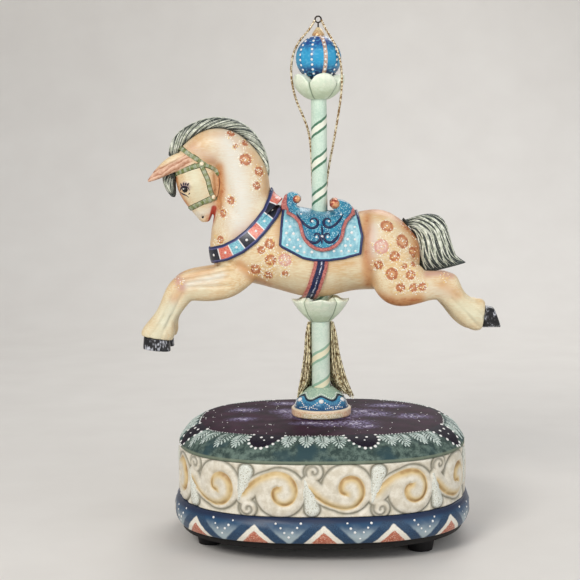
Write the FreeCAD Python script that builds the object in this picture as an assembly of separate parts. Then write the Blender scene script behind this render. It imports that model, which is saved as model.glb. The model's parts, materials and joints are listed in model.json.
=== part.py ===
"""Carousel music box: a galloping horse on a striped pole that lifts off a cushion-shaped, wind-up musical base."""

import FreeCAD
import Part
import math
import os

V = FreeCAD.Vector
UP = V(0, 0, 1)
ALONG = V(1, 0, 0)
ACROSS = V(0, 1, 0)

# Fits and gaps, in millimetres
RUN_FIT = 0.06            # radial clearance of a turning shaft
SLIP_FIT = 0.08           # radial clearance of a glued or slipped socket
AIR = 0.4                 # gap between faces that turn past each other
END_PLAY = 0.2            # of a pivot in its blind hole

# Plan of the base: a rounded cushion, wider than it is deep. Its sizes below are half widths.
PLAN_TRIM = 10.0          # half depth is less than half width by this
PLAN_POWER = 2.6          # 2 would be an ellipse, more is squarer
PLAN_POINTS = 32

# Feet and base plate
FOOT_H = 9.0
FOOT_TOP_R = 8.5
FOOT_TREAD_R = 6.8
FOOT_PLAN_R = 68.0
FOOT_COUNT = 3
FIRST_FOOT_DEG = 203.0
PLATE_R = 82.0
PLATE_T = 3.6
KEY_HOLE_R = 5.0

# Plinth, scroll band and lid
PLINTH_H = 13.8
PLINTH_EDGE_R = 83.2
PLINTH_BULGE_R = 86.2
PLINTH_BULGE_SHARE = 0.45
BAND_H = 29.2
BAND_R = 82.0
BAND_WALL = 6.0
VOLUTE_COUNT = 14
FIRST_VOLUTE_X = 13.6     # just right of the front, standing high
VOLUTE_RISE = 1.9
VOLUTE_DOME_R = 34.0
VOLUTE_SWING = 1.8        # each volute stands this much above or below the band's middle
LID_R = 83.0
LID_LIP_H = 1.4
LID_RISE = 12.9
LID_WALL = 4.0
LID_HAUNCH_R = 77.0
LID_HAUNCH_H = 8.0        # above the lid's lower face
LID_FIELD_R = 65.0        # edge of the night-sky top
LID_FIELD_DROP = 0.9
LID_FLAT_R = 30.0
SPIGOT_H = 4.0

# Turning foot, stand tube and spindle
RING_R = 17.5
RING_H = 4.8
RING_ROUND = 0.7
DOME_R = 15.9
DOME_H = 11.8
TUBE_R = 5.3
TUBE_BORE_R = 3.0
TUBE_SEAT = 6.5           # depth of the tube in the foot
TUBE_SHOWN = 38.8
SPINDLE_R = 2.5
BUSH_R = 4.2
BUSH_FLANGE_R = 6.5
BUSH_FLANGE_T = 1.5

# Figure: pole, cups and finial
PEG_R = 2.9
PEG_L = 24.0
PEG_SPARE = 2.0           # of bore below the peg
POLE_R = 4.55
CUP_H = 12.9
CUP_FOOT_R = 6.4
CUP_TIP_R = 16.2
CUP_PETALS = 4
POLE_SHOWN = 115.2        # from the top of the lotus cup to the finial cup
FINIAL_CUP_H = 14.2
FINIAL_CUP_R = 13.8
FINIAL_PETALS = 5
FINIAL_FIRST_DEG = -83.0
FINIAL_SEAT = 3.0         # depth of the pole in the cup
FINIAL_FOOT_WALL = 0.9
BALL_R = 12.95
CAP_R = 3.6
CAP_H = 6.4
CAP_STEM_L = 3.8
CAP_STEM_R = CAP_R * 0.6
EYE_R = 1.75
EYE_WIRE_R = 0.45
CORD_D = 1.2

# Movement
BED_T = 2.2
BARREL_R = 14.5
BARREL_H = 12.0
BARREL_WALL = 1.0
ARBOR_R = 2.0
RATCHET_R = 6.6
RATCHET_T = 1.4
RATCHET_TEETH = 16
CROWN_TEETH = 48
CROWN_R = 15.5
CROWN_FACE = 2.6
CROWN_TOOTH_H = 1.0
PINION_TEETH = 12
DRUM_R = 6.5
DRUM_L = 23.5
PIN_RISE = 0.55
COMB_TEETH = 18
COMB_T = 1.0
SHAFT_R = 1.0
WHEEL_TEETH = 36
WHEEL_MODULE = 0.45
GOVERNOR_TEETH = 18
GOVERNOR_MODULE = 0.4
WORM_STARTS = 2
WORM_TIP_R = 1.75
FLY_SHAFT_R = 0.6
VANE_R = 5.6
VANE_H = 6.5
KEY_SPAN = 22.0
KEY_H = 5.6
KEY_T = 2.2

# Heights that follow from the sizes above
PLATE_Z = FOOT_H
PLINTH_Z = PLATE_Z + PLATE_T
BAND_Z = PLINTH_Z + PLINTH_H
LID_Z = BAND_Z + BAND_H
LID_TOP = LID_Z + LID_RISE
RING_Z = LID_TOP + AIR
DOME_Z = RING_Z + RING_H
DOME_TOP = DOME_Z + DOME_H
TUBE_Z = DOME_TOP - TUBE_SEAT
TUBE_TOP = DOME_TOP + TUBE_SHOWN
CUP_Z = TUBE_TOP + 0.1
HORSE_Z = CUP_Z + CUP_H
FINIAL_Z = HORSE_Z + POLE_SHOWN
BALL_Z = FINIAL_Z + FINIAL_CUP_H + 9.2
CAP_Z = BALL_Z + BALL_R - 1.9
EYE_Z = CAP_Z + CAP_H + EYE_R + 2.8
EYE_SHANK_Z = CAP_Z + CAP_H * 0.4
BED_Z = PLINTH_Z
BED_TOP = BED_Z + BED_T
RATCHET_Z = BED_TOP + AIR
BARREL_Z = RATCHET_Z + RATCHET_T + AIR
BARREL_TOP = BARREL_Z + BARREL_H
CROWN_PITCH = 2 * math.pi * CROWN_R / CROWN_TEETH
PINION_R = CROWN_PITCH * PINION_TEETH / (2 * math.pi)
DRUM_Z = BARREL_TOP + CROWN_TOOTH_H / 2 + PINION_R

# Places along the movement, from the winding axis outwards
CROWN_OUT = CROWN_R + CROWN_FACE / 2
POST_T = 2.4
POST_X = CROWN_OUT + 0.8
DRUM_X = POST_X + POST_T + AIR
FAR_POST_X = DRUM_X + DRUM_L + AIR
WHEEL_X = FAR_POST_X + POST_T + AIR
WHEEL_T = 1.2
WHEEL_R = WHEEL_MODULE * WHEEL_TEETH / 2
GOV_PINION_R = WHEEL_MODULE * PINION_TEETH / 2
GOV_Y = WHEEL_R + GOV_PINION_R
GOV_WHEEL_X = WHEEL_X + WHEEL_T + 1.2
GOV_WHEEL_T = 1.0
GOV_WHEEL_R = GOVERNOR_MODULE * GOVERNOR_TEETH / 2
WORM_X = GOV_WHEEL_X + GOV_WHEEL_T / 2
WORM_Y = GOV_Y + GOV_WHEEL_R + WORM_TIP_R - 0.25
FRAME_X = GOV_WHEEL_X + GOV_WHEEL_T + 1.0
FRAME_T = 1.6
BED_X0 = -22.0
BED_X1 = FRAME_X + FRAME_T + 4.0
BED_Y0 = -30.0
BED_Y1 = WORM_Y + VANE_R + 3.6


def tube(r, h, z, x=0.0, y=0.0):
    return Part.makeCylinder(r, h, V(x, y, z))


def rod_x(r, length, x, y, z):
    return Part.makeCylinder(r, length, V(x, y, z), ALONG)


def block(x0, x1, y0, y1, z0, z1):
    return Part.makeBox(x1 - x0, y1 - y0, z1 - z0, V(x0, y0, z0))


def joined(first, others):
    others = list(others)
    return first.fuse(others).removeSplitter() if others else first


def around(shape, count, start=0.0):
    """Copies of a shape, turned evenly about the vertical axis."""
    copies = []
    for i in range(count):
        copy = shape.copy()
        copy.rotate(V(0, 0, 0), UP, start + 360.0 * i / count)
        copies.append(copy)
    return copies


def revolved(edges):
    """A closed outline in the XZ half plane, turned once about the vertical axis."""
    return Part.Face(Part.Wire(edges)).revolve(V(0, 0, 0), UP, 360)


def plan_spot(r, turn, z=0.0):
    """A place on the plan of half width r, at a polar angle in radians."""
    share = abs(math.cos(turn) / r) ** PLAN_POWER + abs(math.sin(turn) / (r - PLAN_TRIM)) ** PLAN_POWER
    reach = share ** (-1.0 / PLAN_POWER)
    return V(reach * math.cos(turn), reach * math.sin(turn), z)


def plan_wire(r, z):
    curve = Part.BSplineCurve()
    curve.interpolate([plan_spot(r, 2 * math.pi * i / PLAN_POINTS, z) for i in range(PLAN_POINTS)],
                      PeriodicFlag=True)
    return Part.Wire([curve.toShape()])


def plan_slab(r, h, z):
    return Part.Face(plan_wire(r, z)).extrude(V(0, 0, h))


def plan_loft(profile, ruled=False):
    """A solid through the plan at each half width and height."""
    return Part.makeLoft([plan_wire(r, z) for r, z in profile], True, ruled)


def plan_spread(r, count, first_x):
    """Places spaced evenly along the plan, with their outward directions; the first is at first_x in front."""
    curve = plan_wire(r, 0.0).Edges[0]
    front = curve.Curve.parameter(V(first_x, -r + PLAN_TRIM, 0))
    start = curve.Curve.length(curve.FirstParameter, front)
    for i in range(count):
        at = curve.getParameterByLength((start + curve.Length * i / count) % curve.Length)
        ahead = curve.tangentAt(at)
        yield curve.valueAt(at), V(ahead.y, -ahead.x, 0)


def xz(x, z, y=0.0):
    return V(x, y, z)


def line(a, b):
    return Part.makeLine(xz(*a), xz(*b))


def path(*points):
    """Straight edges through points of the XZ plane."""
    return [line(a, b) for a, b in zip(points, points[1:])]


def bow(*points):
    """One smooth edge through points of the XZ plane."""
    curve = Part.BSplineCurve()
    curve.interpolate([xz(*p) for p in points])
    return curve.toShape()


def smooth_loop(points, y=0.0):
    curve = Part.BSplineCurve()
    curve.interpolate([xz(x, z, y) for x, z in points], PeriodicFlag=True)
    return Part.Wire([curve.toShape()])


def slab(points, y0, y1, smooth=False):
    """A side outline, in the XZ plane, pushed across from y0 to y1."""
    if smooth:
        wire = smooth_loop(points, y0)
    else:
        wire = Part.makePolygon([xz(x, z, y0) for x, z in [*points, points[0]]])
    return Part.Face(wire).extrude(V(0, y1 - y0, 0))


def band_outline(points, width):
    """A strap's side outline: its middle line widened to both sides."""
    left, right = [], []
    for i, (x, z) in enumerate(points):
        ax, az = points[max(i - 1, 0)]
        bx, bz = points[min(i + 1, len(points) - 1)]
        run = math.hypot(bx - ax, bz - az)
        nx, nz = -(bz - az) / run * width / 2, (bx - ax) / run * width / 2
        left.append((x + nx, z + nz))
        right.append((x - nx, z - nz))
    return left + right[::-1]


def gear_face(teeth, root_r, tip_r, root_width, tip_width, first_deg=0.0):
    """A gear outline with straight-sided teeth, in the XY plane."""
    points = []
    for i in range(teeth):
        mid = math.radians(first_deg + 360.0 * i / teeth)
        for r, half in ((root_r, -root_width / 2), (tip_r, -tip_width / 2),
                        (tip_r, tip_width / 2), (root_r, root_width / 2)):
            turn = mid + half / r
            points.append(V(r * math.cos(turn), r * math.sin(turn), 0))
    return Part.Face(Part.makePolygon([*points, points[0]]))


def gear_x(face, length, x, y, z):
    """A gear outline stood up so that its axis runs along X, with its zero tooth towards +Y."""
    gear = face.extrude(V(0, 0, length))
    gear.rotate(V(0, 0, 0), V(1, 1, 1), 120)
    gear.translate(V(x, y, z))
    return gear


# Base

def on_plan(shape, r, start):
    """One copy for each foot or base screw, set on the plan of half width r."""
    copies = []
    for i in range(FOOT_COUNT):
        copy = shape.copy()
        copy.translate(plan_spot(r, math.radians(start + 360.0 * i / FOOT_COUNT)))
        copies.append(copy)
    return copies


def make_feet():
    edges = path((0, 0), (FOOT_TREAD_R, 0), (FOOT_TOP_R, FOOT_H), (0, FOOT_H), (0, 0))
    return Part.makeCompound(on_plan(revolved(edges), FOOT_PLAN_R, FIRST_FOOT_DEG))


SCREW_R = 1.5
SCREW_HEAD_R = 3.0
SCREW_HEAD_H = 1.6
BASE_SCREW_PLAN_R = (PLINTH_EDGE_R + BAND_R - BAND_WALL) / 2 - 1.0
BASE_SCREW_DEG = FIRST_FOOT_DEG + 60.0
BASE_SCREW_L = PLATE_T + 9.0


def countersunk(r, head_r, head_h, length, z, clearance=0.0):
    """A screw from below: flat head at z, shank upwards."""
    head = Part.makeCone(head_r + clearance, r + clearance, head_h, V(0, 0, z))
    return head.fuse(tube(r + clearance, length - head_h + clearance, z + head_h)).removeSplitter()


def base_screw(clearance=0.0):
    screw = countersunk(SCREW_R, SCREW_HEAD_R, SCREW_HEAD_H, BASE_SCREW_L, PLATE_Z, clearance)
    return on_plan(screw, BASE_SCREW_PLAN_R, BASE_SCREW_DEG)


MOVEMENT_SCREW_R = 1.2
MOVEMENT_SCREW_HEAD_R = 2.4
MOVEMENT_SCREW_HEAD_H = 1.3
MOVEMENT_SCREW_L = PLATE_T + BED_T
SCREW_INSET = 4.0


def movement_screw(clearance=0.0):
    screws = []
    for x in (BED_X0 + SCREW_INSET, BED_X1 - SCREW_INSET):
        for y in (BED_Y0 + SCREW_INSET, BED_Y1 - SCREW_INSET):
            screw = countersunk(MOVEMENT_SCREW_R, MOVEMENT_SCREW_HEAD_R, MOVEMENT_SCREW_HEAD_H,
                                MOVEMENT_SCREW_L, PLATE_Z, clearance)
            screw.translate(V(x, y, 0))
            screws.append(screw)
    return screws


def make_base_plate():
    plate = plan_slab(PLATE_R, PLATE_T, PLATE_Z).cut(tube(KEY_HOLE_R, PLATE_T, PLATE_Z))
    return plate.cut(base_screw(SLIP_FIT) + movement_screw(SLIP_FIT))


def make_plinth():
    bulge = PLINTH_Z + PLINTH_H * PLINTH_BULGE_SHARE
    ring = plan_loft([(PLINTH_EDGE_R, PLINTH_Z), (PLINTH_BULGE_R, bulge), (PLINTH_EDGE_R, BAND_Z)])
    ring = ring.cut(plan_slab(BAND_R - BAND_WALL, PLINTH_H, PLINTH_Z))
    return ring.cut(base_screw(SLIP_FIT))


def make_scroll_band():
    """The carved wall: a ring with a row of raised volutes, high and low in turn."""
    domes = []
    for i, (spot, outward) in enumerate(plan_spread(BAND_R, VOLUTE_COUNT, FIRST_VOLUTE_X)):
        middle = spot - outward * (VOLUTE_DOME_R - VOLUTE_RISE)
        middle.z = BAND_Z + BAND_H / 2 + VOLUTE_SWING * (-1 if i % 2 else 1)
        domes.append(Part.makeSphere(VOLUTE_DOME_R, middle))
    slice_z = plan_slab(BAND_R + VOLUTE_RISE, BAND_H, BAND_Z)
    wall = joined(plan_slab(BAND_R, BAND_H, BAND_Z), [dome.common(slice_z) for dome in domes])
    return wall.cut(plan_slab(BAND_R - BAND_WALL, BAND_H, BAND_Z))


def make_lid():
    """A low dome with a flat crown, a thin lip and a spigot that drops into the band."""
    spigot = BAND_R - BAND_WALL - SLIP_FIT
    under = LID_TOP - LID_WALL
    dome = plan_loft([(LID_R, LID_Z + LID_LIP_H), (LID_HAUNCH_R, LID_Z + LID_HAUNCH_H),
                      (LID_FIELD_R, LID_TOP - LID_FIELD_DROP), (LID_FLAT_R, LID_TOP)])
    outside = joined(dome, [plan_slab(LID_R, LID_LIP_H, LID_Z), plan_slab(spigot, SPIGOT_H, LID_Z - SPIGOT_H)])
    hollow = plan_loft([(spigot - LID_WALL, LID_Z), (LID_FIELD_R - LID_WALL, under)], True)
    hollow = joined(hollow, [plan_slab(spigot - LID_WALL, SPIGOT_H, LID_Z - SPIGOT_H)])
    return outside.cut([hollow, tube(BUSH_R + SLIP_FIT, LID_WALL, under)])


def make_spindle_bush():
    """Flanged brass bush in the lid's crown, put in from inside."""
    under = LID_TOP - LID_WALL
    below = under - BUSH_FLANGE_T
    bush = tube(BUSH_R, LID_WALL, under).fuse(tube(BUSH_FLANGE_R, BUSH_FLANGE_T, below)).removeSplitter()
    return bush.cut(tube(SPINDLE_R + RUN_FIT, LID_WALL + BUSH_FLANGE_T, below))


# Movement

BEARING_Z = DRUM_Z
COMB_Y = -DRUM_R - PIN_RISE - 0.35
COMB_TOOTH_L = 8.0
COMB_HEEL_L = 10.0
COMB_HEEL_SPARE = 2.0
COMB_HEEL_X0 = DRUM_X - COMB_HEEL_SPARE
COMB_HEEL_X1 = DRUM_X + DRUM_L + COMB_HEEL_SPARE
COMB_SCREW_L = 7.0
COMB_SCREW_SPARE = 1.0      # of hole below the screw
COMB_HEAD_H = 1.6
COMB_SLOT_H = 0.6
PIVOT_DEPTH = 1.2
HEEL_Y0 = COMB_Y - COMB_TOOTH_L - COMB_HEEL_L
HEEL_Y1 = COMB_Y - COMB_TOOTH_L
COMB_Z = DRUM_Z
COMB_SCREW_R = 1.3
CLICK_R = 2.4
CLICK_PIN_R = 1.2
CLICK_PIN_HEAD_R = 2.0
CLICK_NOSE_DEG = 157.5
CLICK_PIVOT_DEG = 120.0
CLICK_PIVOT_R = CROWN_OUT + CLICK_PIN_HEAD_R
CLICK_X = CLICK_PIVOT_R * math.cos(math.radians(CLICK_PIVOT_DEG))
CLICK_Y = CLICK_PIVOT_R * math.sin(math.radians(CLICK_PIVOT_DEG))


def comb_screw_places():
    mid_y = (HEEL_Y0 + HEEL_Y1) / 2
    return [(COMB_HEEL_X0 + 5, mid_y), (COMB_HEEL_X1 - 5, mid_y)]


def make_bedplate():
    """Cast bedplate with two bearing posts and the comb's heel."""
    plate = block(BED_X0, BED_X1, BED_Y0, BED_Y1, BED_Z, BED_TOP)
    upright = [e for e in plate.Edges if abs(e.tangentAt(e.FirstParameter).z) > 0.9]
    plate = plate.makeFillet(3.0, upright)
    top = BEARING_Z + 3.0
    near = block(POST_X, POST_X + POST_T, -3, 3, BED_TOP, top)
    far = block(FAR_POST_X, FAR_POST_X + POST_T, -3, GOV_Y + 2.6, BED_TOP, top)
    heel = block(COMB_HEEL_X0, COMB_HEEL_X1, HEEL_Y0, HEEL_Y1, BED_TOP, COMB_Z - COMB_T / 2)
    bed = joined(plate, [near, far, heel])
    holes = [tube(ARBOR_R + RUN_FIT, BED_T, BED_Z)]
    holes.append(rod_x(SHAFT_R + RUN_FIT, FAR_POST_X + POST_T - POST_X, POST_X, 0, BEARING_Z))
    holes.append(rod_x(SHAFT_R + RUN_FIT, POST_T, FAR_POST_X, GOV_Y, BEARING_Z))
    holes.append(tube(FLY_SHAFT_R + RUN_FIT, PIVOT_DEPTH, BED_TOP - PIVOT_DEPTH, WORM_X, WORM_Y))
    holes.append(tube(CLICK_PIN_R + SLIP_FIT, BED_T, BED_Z, CLICK_X, CLICK_Y))
    deep = COMB_SCREW_L + COMB_SCREW_SPARE
    holes += [tube(COMB_SCREW_R + SLIP_FIT, deep, COMB_Z - deep, x, y) for x, y in comb_screw_places()]
    return bed.cut(holes + movement_screw(SLIP_FIT))


def make_comb():
    """Steel comb: a heel plate with one slit between each pair of teeth."""
    z0 = COMB_Z - COMB_T / 2
    comb = block(COMB_HEEL_X0, COMB_HEEL_X1, HEEL_Y0, HEEL_Y1, z0, z0 + COMB_T)
    pitch = DRUM_L / COMB_TEETH
    teeth = []
    for i in range(COMB_TEETH):
        x = DRUM_X + pitch * i
        teeth.append(block(x + 0.15, x + pitch - 0.15, HEEL_Y1, COMB_Y, z0, z0 + COMB_T))
    comb = joined(comb, teeth)
    return comb.cut([tube(COMB_SCREW_R + SLIP_FIT, COMB_T, z0, x, y) for x, y in comb_screw_places()])


def make_comb_screws():
    screws = []
    for x, y in comb_screw_places():
        face = COMB_Z + COMB_T / 2
        head = tube(COMB_SCREW_R * 2, COMB_HEAD_H, face, x, y)
        slot = block(x - COMB_SCREW_R * 2, x + COMB_SCREW_R * 2, y - COMB_SLOT_H / 2, y + COMB_SLOT_H / 2,
                     face + COMB_HEAD_H - COMB_SLOT_H, face + COMB_HEAD_H)
        shank = tube(COMB_SCREW_R, COMB_SCREW_L + COMB_T / 2, COMB_Z - COMB_SCREW_L, x, y)
        screws.append(head.fuse(shank).removeSplitter().cut(slot))
    return Part.makeCompound(screws)


def make_winding_arbor():
    return tube(ARBOR_R, BARREL_TOP - BARREL_WALL - AIR - KEY_SOCKET_Z, KEY_SOCKET_Z)


KEY_Z = 1.5
KEY_SOCKET_Z = KEY_Z + KEY_H - 1.0


def make_winding_key():
    """Butterfly key: two rounded wings on a hub that screws on the arbor from below."""
    hub_r = ARBOR_R + 1.7
    wing_r = KEY_H / 2
    hub = tube(hub_r, KEY_H + 1.2, KEY_Z)
    span = KEY_SPAN / 2 - wing_r
    mid = KEY_Z + wing_r
    wing = block(-span, span, -KEY_T / 2, KEY_T / 2, KEY_Z, KEY_Z + KEY_H)
    ends = [Part.makeCylinder(wing_r, KEY_T, V(s * span, -KEY_T / 2, mid), ACROSS) for s in (-1, 1)]
    holes = [Part.makeCylinder(wing_r - 1.3, KEY_T, V(s * span, -KEY_T / 2, mid), ACROSS) for s in (-1, 1)]
    key = joined(hub, [wing, *ends]).cut(holes)
    return key.cut(tube(ARBOR_R + SLIP_FIT, KEY_H, KEY_SOCKET_Z))


def make_ratchet_wheel():
    """Saw-toothed wheel that holds the wound spring."""
    root = RATCHET_R - 1.1
    points = []
    for i in range(RATCHET_TEETH):
        a = 2 * math.pi * i / RATCHET_TEETH
        b = 2 * math.pi * (i + 0.92) / RATCHET_TEETH
        points.append(V(root * math.cos(a), root * math.sin(a), RATCHET_Z))
        points.append(V(RATCHET_R * math.cos(b), RATCHET_R * math.sin(b), RATCHET_Z))
    wheel = Part.Face(Part.makePolygon([*points, points[0]])).extrude(V(0, 0, RATCHET_T))
    return wheel.cut(tube(ARBOR_R + SLIP_FIT, RATCHET_T, RATCHET_Z))


def make_click():
    """Pawl whose nose stands just clear of the ratchet's teeth."""
    nose_r = RATCHET_R + 0.35
    turn = math.radians(CLICK_NOSE_DEG)
    nose = V(nose_r * math.cos(turn), nose_r * math.sin(turn), RATCHET_Z)
    pivot = V(CLICK_X, CLICK_Y, RATCHET_Z)
    along = (pivot - nose).normalize()
    side = V(-along.y, along.x, 0)
    outline = [nose, nose + along * 2.2 - side * 0.9, pivot - side * (CLICK_R - 0.4),
               pivot + side * (CLICK_R - 0.4), nose + along * 2.6 + side * 1.2]
    arm = Part.Face(Part.makePolygon([*outline, outline[0]])).extrude(V(0, 0, RATCHET_T))
    pawl = arm.fuse(tube(CLICK_R, RATCHET_T, RATCHET_Z, CLICK_X, CLICK_Y)).removeSplitter()
    return pawl.cut(tube(CLICK_PIN_R + RUN_FIT, RATCHET_T, RATCHET_Z, CLICK_X, CLICK_Y))


def make_click_pin():
    top = RATCHET_Z + RATCHET_T + AIR / 2
    pin = tube(CLICK_PIN_R, top - BED_Z, BED_Z, CLICK_X, CLICK_Y)
    return pin.fuse(tube(CLICK_PIN_HEAD_R, 0.8, top, CLICK_X, CLICK_Y)).removeSplitter()


def make_spring_barrel():
    """Open drum that holds the mainspring."""
    drum = tube(BARREL_R, BARREL_H - BARREL_WALL, BARREL_Z)
    drum = drum.cut(tube(BARREL_R - BARREL_WALL, BARREL_H, BARREL_Z + BARREL_WALL))
    return drum.cut(tube(ARBOR_R + RUN_FIT, BARREL_WALL, BARREL_Z))


def make_great_wheel():
    """Barrel cover with a crown of teeth on its upper face."""
    z = BARREL_TOP - BARREL_WALL
    disc = tube(CROWN_OUT, BARREL_WALL, z)
    inner, outer = CROWN_R - CROWN_FACE / 2, CROWN_OUT
    wide, narrow = CROWN_PITCH * 0.36, CROWN_PITCH * 0.2
    profile = [(-wide / 2, BARREL_TOP), (-narrow / 2, BARREL_TOP + CROWN_TOOTH_H),
               (narrow / 2, BARREL_TOP + CROWN_TOOTH_H), (wide / 2, BARREL_TOP)]
    loop = [V(inner, y, h) for y, h in [*profile, profile[0]]]
    tooth = Part.Face(Part.makePolygon(loop)).extrude(V(outer - inner - 0.15, 0, 0))
    wheel = joined(disc, around(tooth, CROWN_TEETH, 180.0 / CROWN_TEETH))
    return wheel.cut(tube(SPINDLE_R + SLIP_FIT, BARREL_WALL, z))


SPRING_T = 0.45
SPRING_TURNS = 7


def make_mainspring():
    """Flat spiral strip between the arbor and the barrel wall."""
    inner, outer = ARBOR_R + 0.9, BARREL_R - BARREL_WALL - 0.15 - SPRING_T
    steps = SPRING_TURNS * 12
    rims = []
    for offset in (0.0, SPRING_T):
        points = []
        for i in range(steps + 1):
            r = inner + (outer - inner) * i / steps + offset
            turn = 2 * math.pi * SPRING_TURNS * i / steps
            points.append(V(r * math.cos(turn), r * math.sin(turn), BARREL_Z + BARREL_WALL + AIR))
        curve = Part.BSplineCurve()
        curve.interpolate(points)
        rims.append(curve.toShape())
    ends = [Part.makeLine(rims[0].valueAt(rims[0].FirstParameter), rims[1].valueAt(rims[1].FirstParameter)),
            Part.makeLine(rims[0].valueAt(rims[0].LastParameter), rims[1].valueAt(rims[1].LastParameter))]
    wire = Part.Wire(Part.__sortEdges__([rims[0], ends[1], rims[1], ends[0]]))
    return Part.Face(wire).extrude(V(0, 0, BARREL_H - 2 * BARREL_WALL - 2 * AIR))


def make_output_spindle():
    z = BARREL_TOP - BARREL_WALL
    spindle = tube(SPINDLE_R, TUBE_Z - 0.5 - z, z)
    return spindle.fuse(tube(SPINDLE_R + 2.5, 2.0, BARREL_TOP)).removeSplitter()


def make_pin_cylinder():
    """Brass drum with rows of tune pins, a few on each comb tooth's track."""
    drum = rod_x(DRUM_R, DRUM_L, DRUM_X, 0, BEARING_Z)
    pitch = DRUM_L / COMB_TEETH
    pins = []
    for i in range(COMB_TEETH):
        for k in range(3):
            turn = math.radians(47.0 * i + 113.0 * k + 20.0)
            x = DRUM_X + pitch * (i + 0.5)
            pin = block(x - 0.2, x + 0.2, -0.2, 0.2, DRUM_R - 0.3, DRUM_R + PIN_RISE)
            pin.rotate(V(0, 0, 0), ALONG, math.degrees(turn))
            pin.translate(V(0, 0, BEARING_Z))
            pins.append(pin)
    return joined(drum, pins).cut(rod_x(SHAFT_R + SLIP_FIT, DRUM_L, DRUM_X, 0, BEARING_Z))


PINION_X = CROWN_R - CROWN_FACE / 2 - 0.4
PINION_L = POST_X - AIR - PINION_X


def make_cylinder_shaft():
    return rod_x(SHAFT_R, WHEEL_X + WHEEL_T + 0.4 - PINION_X, PINION_X, 0, BEARING_Z)


def make_cylinder_pinion():
    """Pinion that runs on the crown of the great wheel."""
    face = gear_face(PINION_TEETH, PINION_R - 0.75, PINION_R + 0.3, CROWN_PITCH * 0.46, CROWN_PITCH * 0.2, -90.0)
    pinion = gear_x(face, PINION_L, PINION_X, 0, BEARING_Z)
    return pinion.cut(rod_x(SHAFT_R + SLIP_FIT, PINION_L, PINION_X, 0, BEARING_Z))


def spur(teeth, module, first_deg):
    r = module * teeth / 2
    pitch = math.pi * module
    return gear_face(teeth, r - module * 1.15, r + module * 0.75, pitch * 0.62, pitch * 0.22, first_deg)


def make_cylinder_wheel():
    wheel = gear_x(spur(WHEEL_TEETH, WHEEL_MODULE, 0.0), WHEEL_T, WHEEL_X, 0, BEARING_Z)
    return wheel.cut(rod_x(SHAFT_R + SLIP_FIT, WHEEL_T, WHEEL_X, 0, BEARING_Z))


def make_governor_shaft():
    return rod_x(SHAFT_R, FRAME_X + FRAME_T - FAR_POST_X, FAR_POST_X, GOV_Y, BEARING_Z)


def make_governor_pinion():
    face = spur(PINION_TEETH, WHEEL_MODULE, 180.0 + 180.0 / PINION_TEETH)
    pinion = gear_x(face, WHEEL_T, WHEEL_X, GOV_Y, BEARING_Z)
    return pinion.cut(rod_x(SHAFT_R + SLIP_FIT, WHEEL_T, WHEEL_X, GOV_Y, BEARING_Z))


def make_governor_wheel():
    pitch = math.pi * GOVERNOR_MODULE
    face = gear_face(GOVERNOR_TEETH, GOV_WHEEL_R - 0.45, GOV_WHEEL_R + 0.3, pitch * 0.45, pitch * 0.2, 0.0)
    wheel = gear_x(face, GOV_WHEEL_T, GOV_WHEEL_X, GOV_Y, BEARING_Z)
    return wheel.cut(rod_x(SHAFT_R + SLIP_FIT, GOV_WHEEL_T, GOV_WHEEL_X, GOV_Y, BEARING_Z))


VANE_Z = BEARING_Z + GOV_WHEEL_R + 1.6
FLY_TOP = VANE_Z + VANE_H + 0.6
ARM_T = 1.4


def make_governor_frame():
    """Bracket that carries the governor's outer bearing and the top of the fly."""
    back = WORM_Y + VANE_R + 0.6
    foot = block(FRAME_X, FRAME_X + FRAME_T + 3.0, GOV_Y - 3.5, back + 1.6, BED_TOP, BED_TOP + 1.4)
    cheek = block(FRAME_X, FRAME_X + FRAME_T, GOV_Y - 2.6, GOV_Y + 2.6, BED_TOP, BEARING_Z + 2.6)
    column = block(FRAME_X, FRAME_X + FRAME_T + 1.4, back, back + 1.6, BED_TOP, FLY_TOP + ARM_T)
    arm = block(WORM_X - 1.6, FRAME_X + FRAME_T + 1.4, WORM_Y - 1.6, back + 1.6, FLY_TOP, FLY_TOP + ARM_T)
    frame = joined(foot, [cheek, column, arm])
    bores = [rod_x(SHAFT_R + RUN_FIT, FRAME_T, FRAME_X, GOV_Y, BEARING_Z)]
    bores.append(tube(FLY_SHAFT_R + RUN_FIT, ARM_T, FLY_TOP, WORM_X, WORM_Y))
    return frame.cut(bores)


def make_fly_worm():
    """Fly shaft with its two-start worm, which meets the governor wheel at a gap between threads."""
    pitch = math.pi * GOVERNOR_MODULE
    lead = pitch * WORM_STARTS
    root_r = WORM_TIP_R - 0.55
    foot, nose = pitch * 0.2, pitch * 0.1
    inner = root_r - 0.1
    points = [V(inner, 0, -foot), V(WORM_TIP_R, 0, -nose), V(WORM_TIP_R, 0, nose), V(inner, 0, foot)]
    threads = []
    for start in range(WORM_STARTS):
        helix = Part.Wire(Part.makeHelix(lead, 2 * lead, root_r))
        thread = helix.makePipeShell([Part.makePolygon([*points, points[0]])], True, True)
        thread.rotate(V(0, 0, 0), UP, 360.0 * start / WORM_STARTS)
        thread.translate(V(0, 0, BEARING_Z - lead))
        threads.append(thread)
    tip = BED_TOP - PIVOT_DEPTH + END_PLAY
    shaft = tube(FLY_SHAFT_R, FLY_TOP + ARM_T - END_PLAY - tip, tip)
    core = tube(root_r, 2 * lead + 1.0, BEARING_Z - lead - 0.5)
    worm = shaft.fuse([core, *threads])
    worm.translate(V(WORM_X, WORM_Y, 0))
    return worm


def make_fly_vane():
    """Two-bladed air brake on the fly shaft."""
    hub = tube(FLY_SHAFT_R + 0.9, VANE_H, VANE_Z, WORM_X, WORM_Y)
    blades = block(WORM_X - 0.25, WORM_X + 0.25, WORM_Y - VANE_R, WORM_Y + VANE_R, VANE_Z, VANE_Z + VANE_H)
    return hub.fuse(blades).removeSplitter().cut(tube(FLY_SHAFT_R + SLIP_FIT, VANE_H, VANE_Z, WORM_X, WORM_Y))


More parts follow.
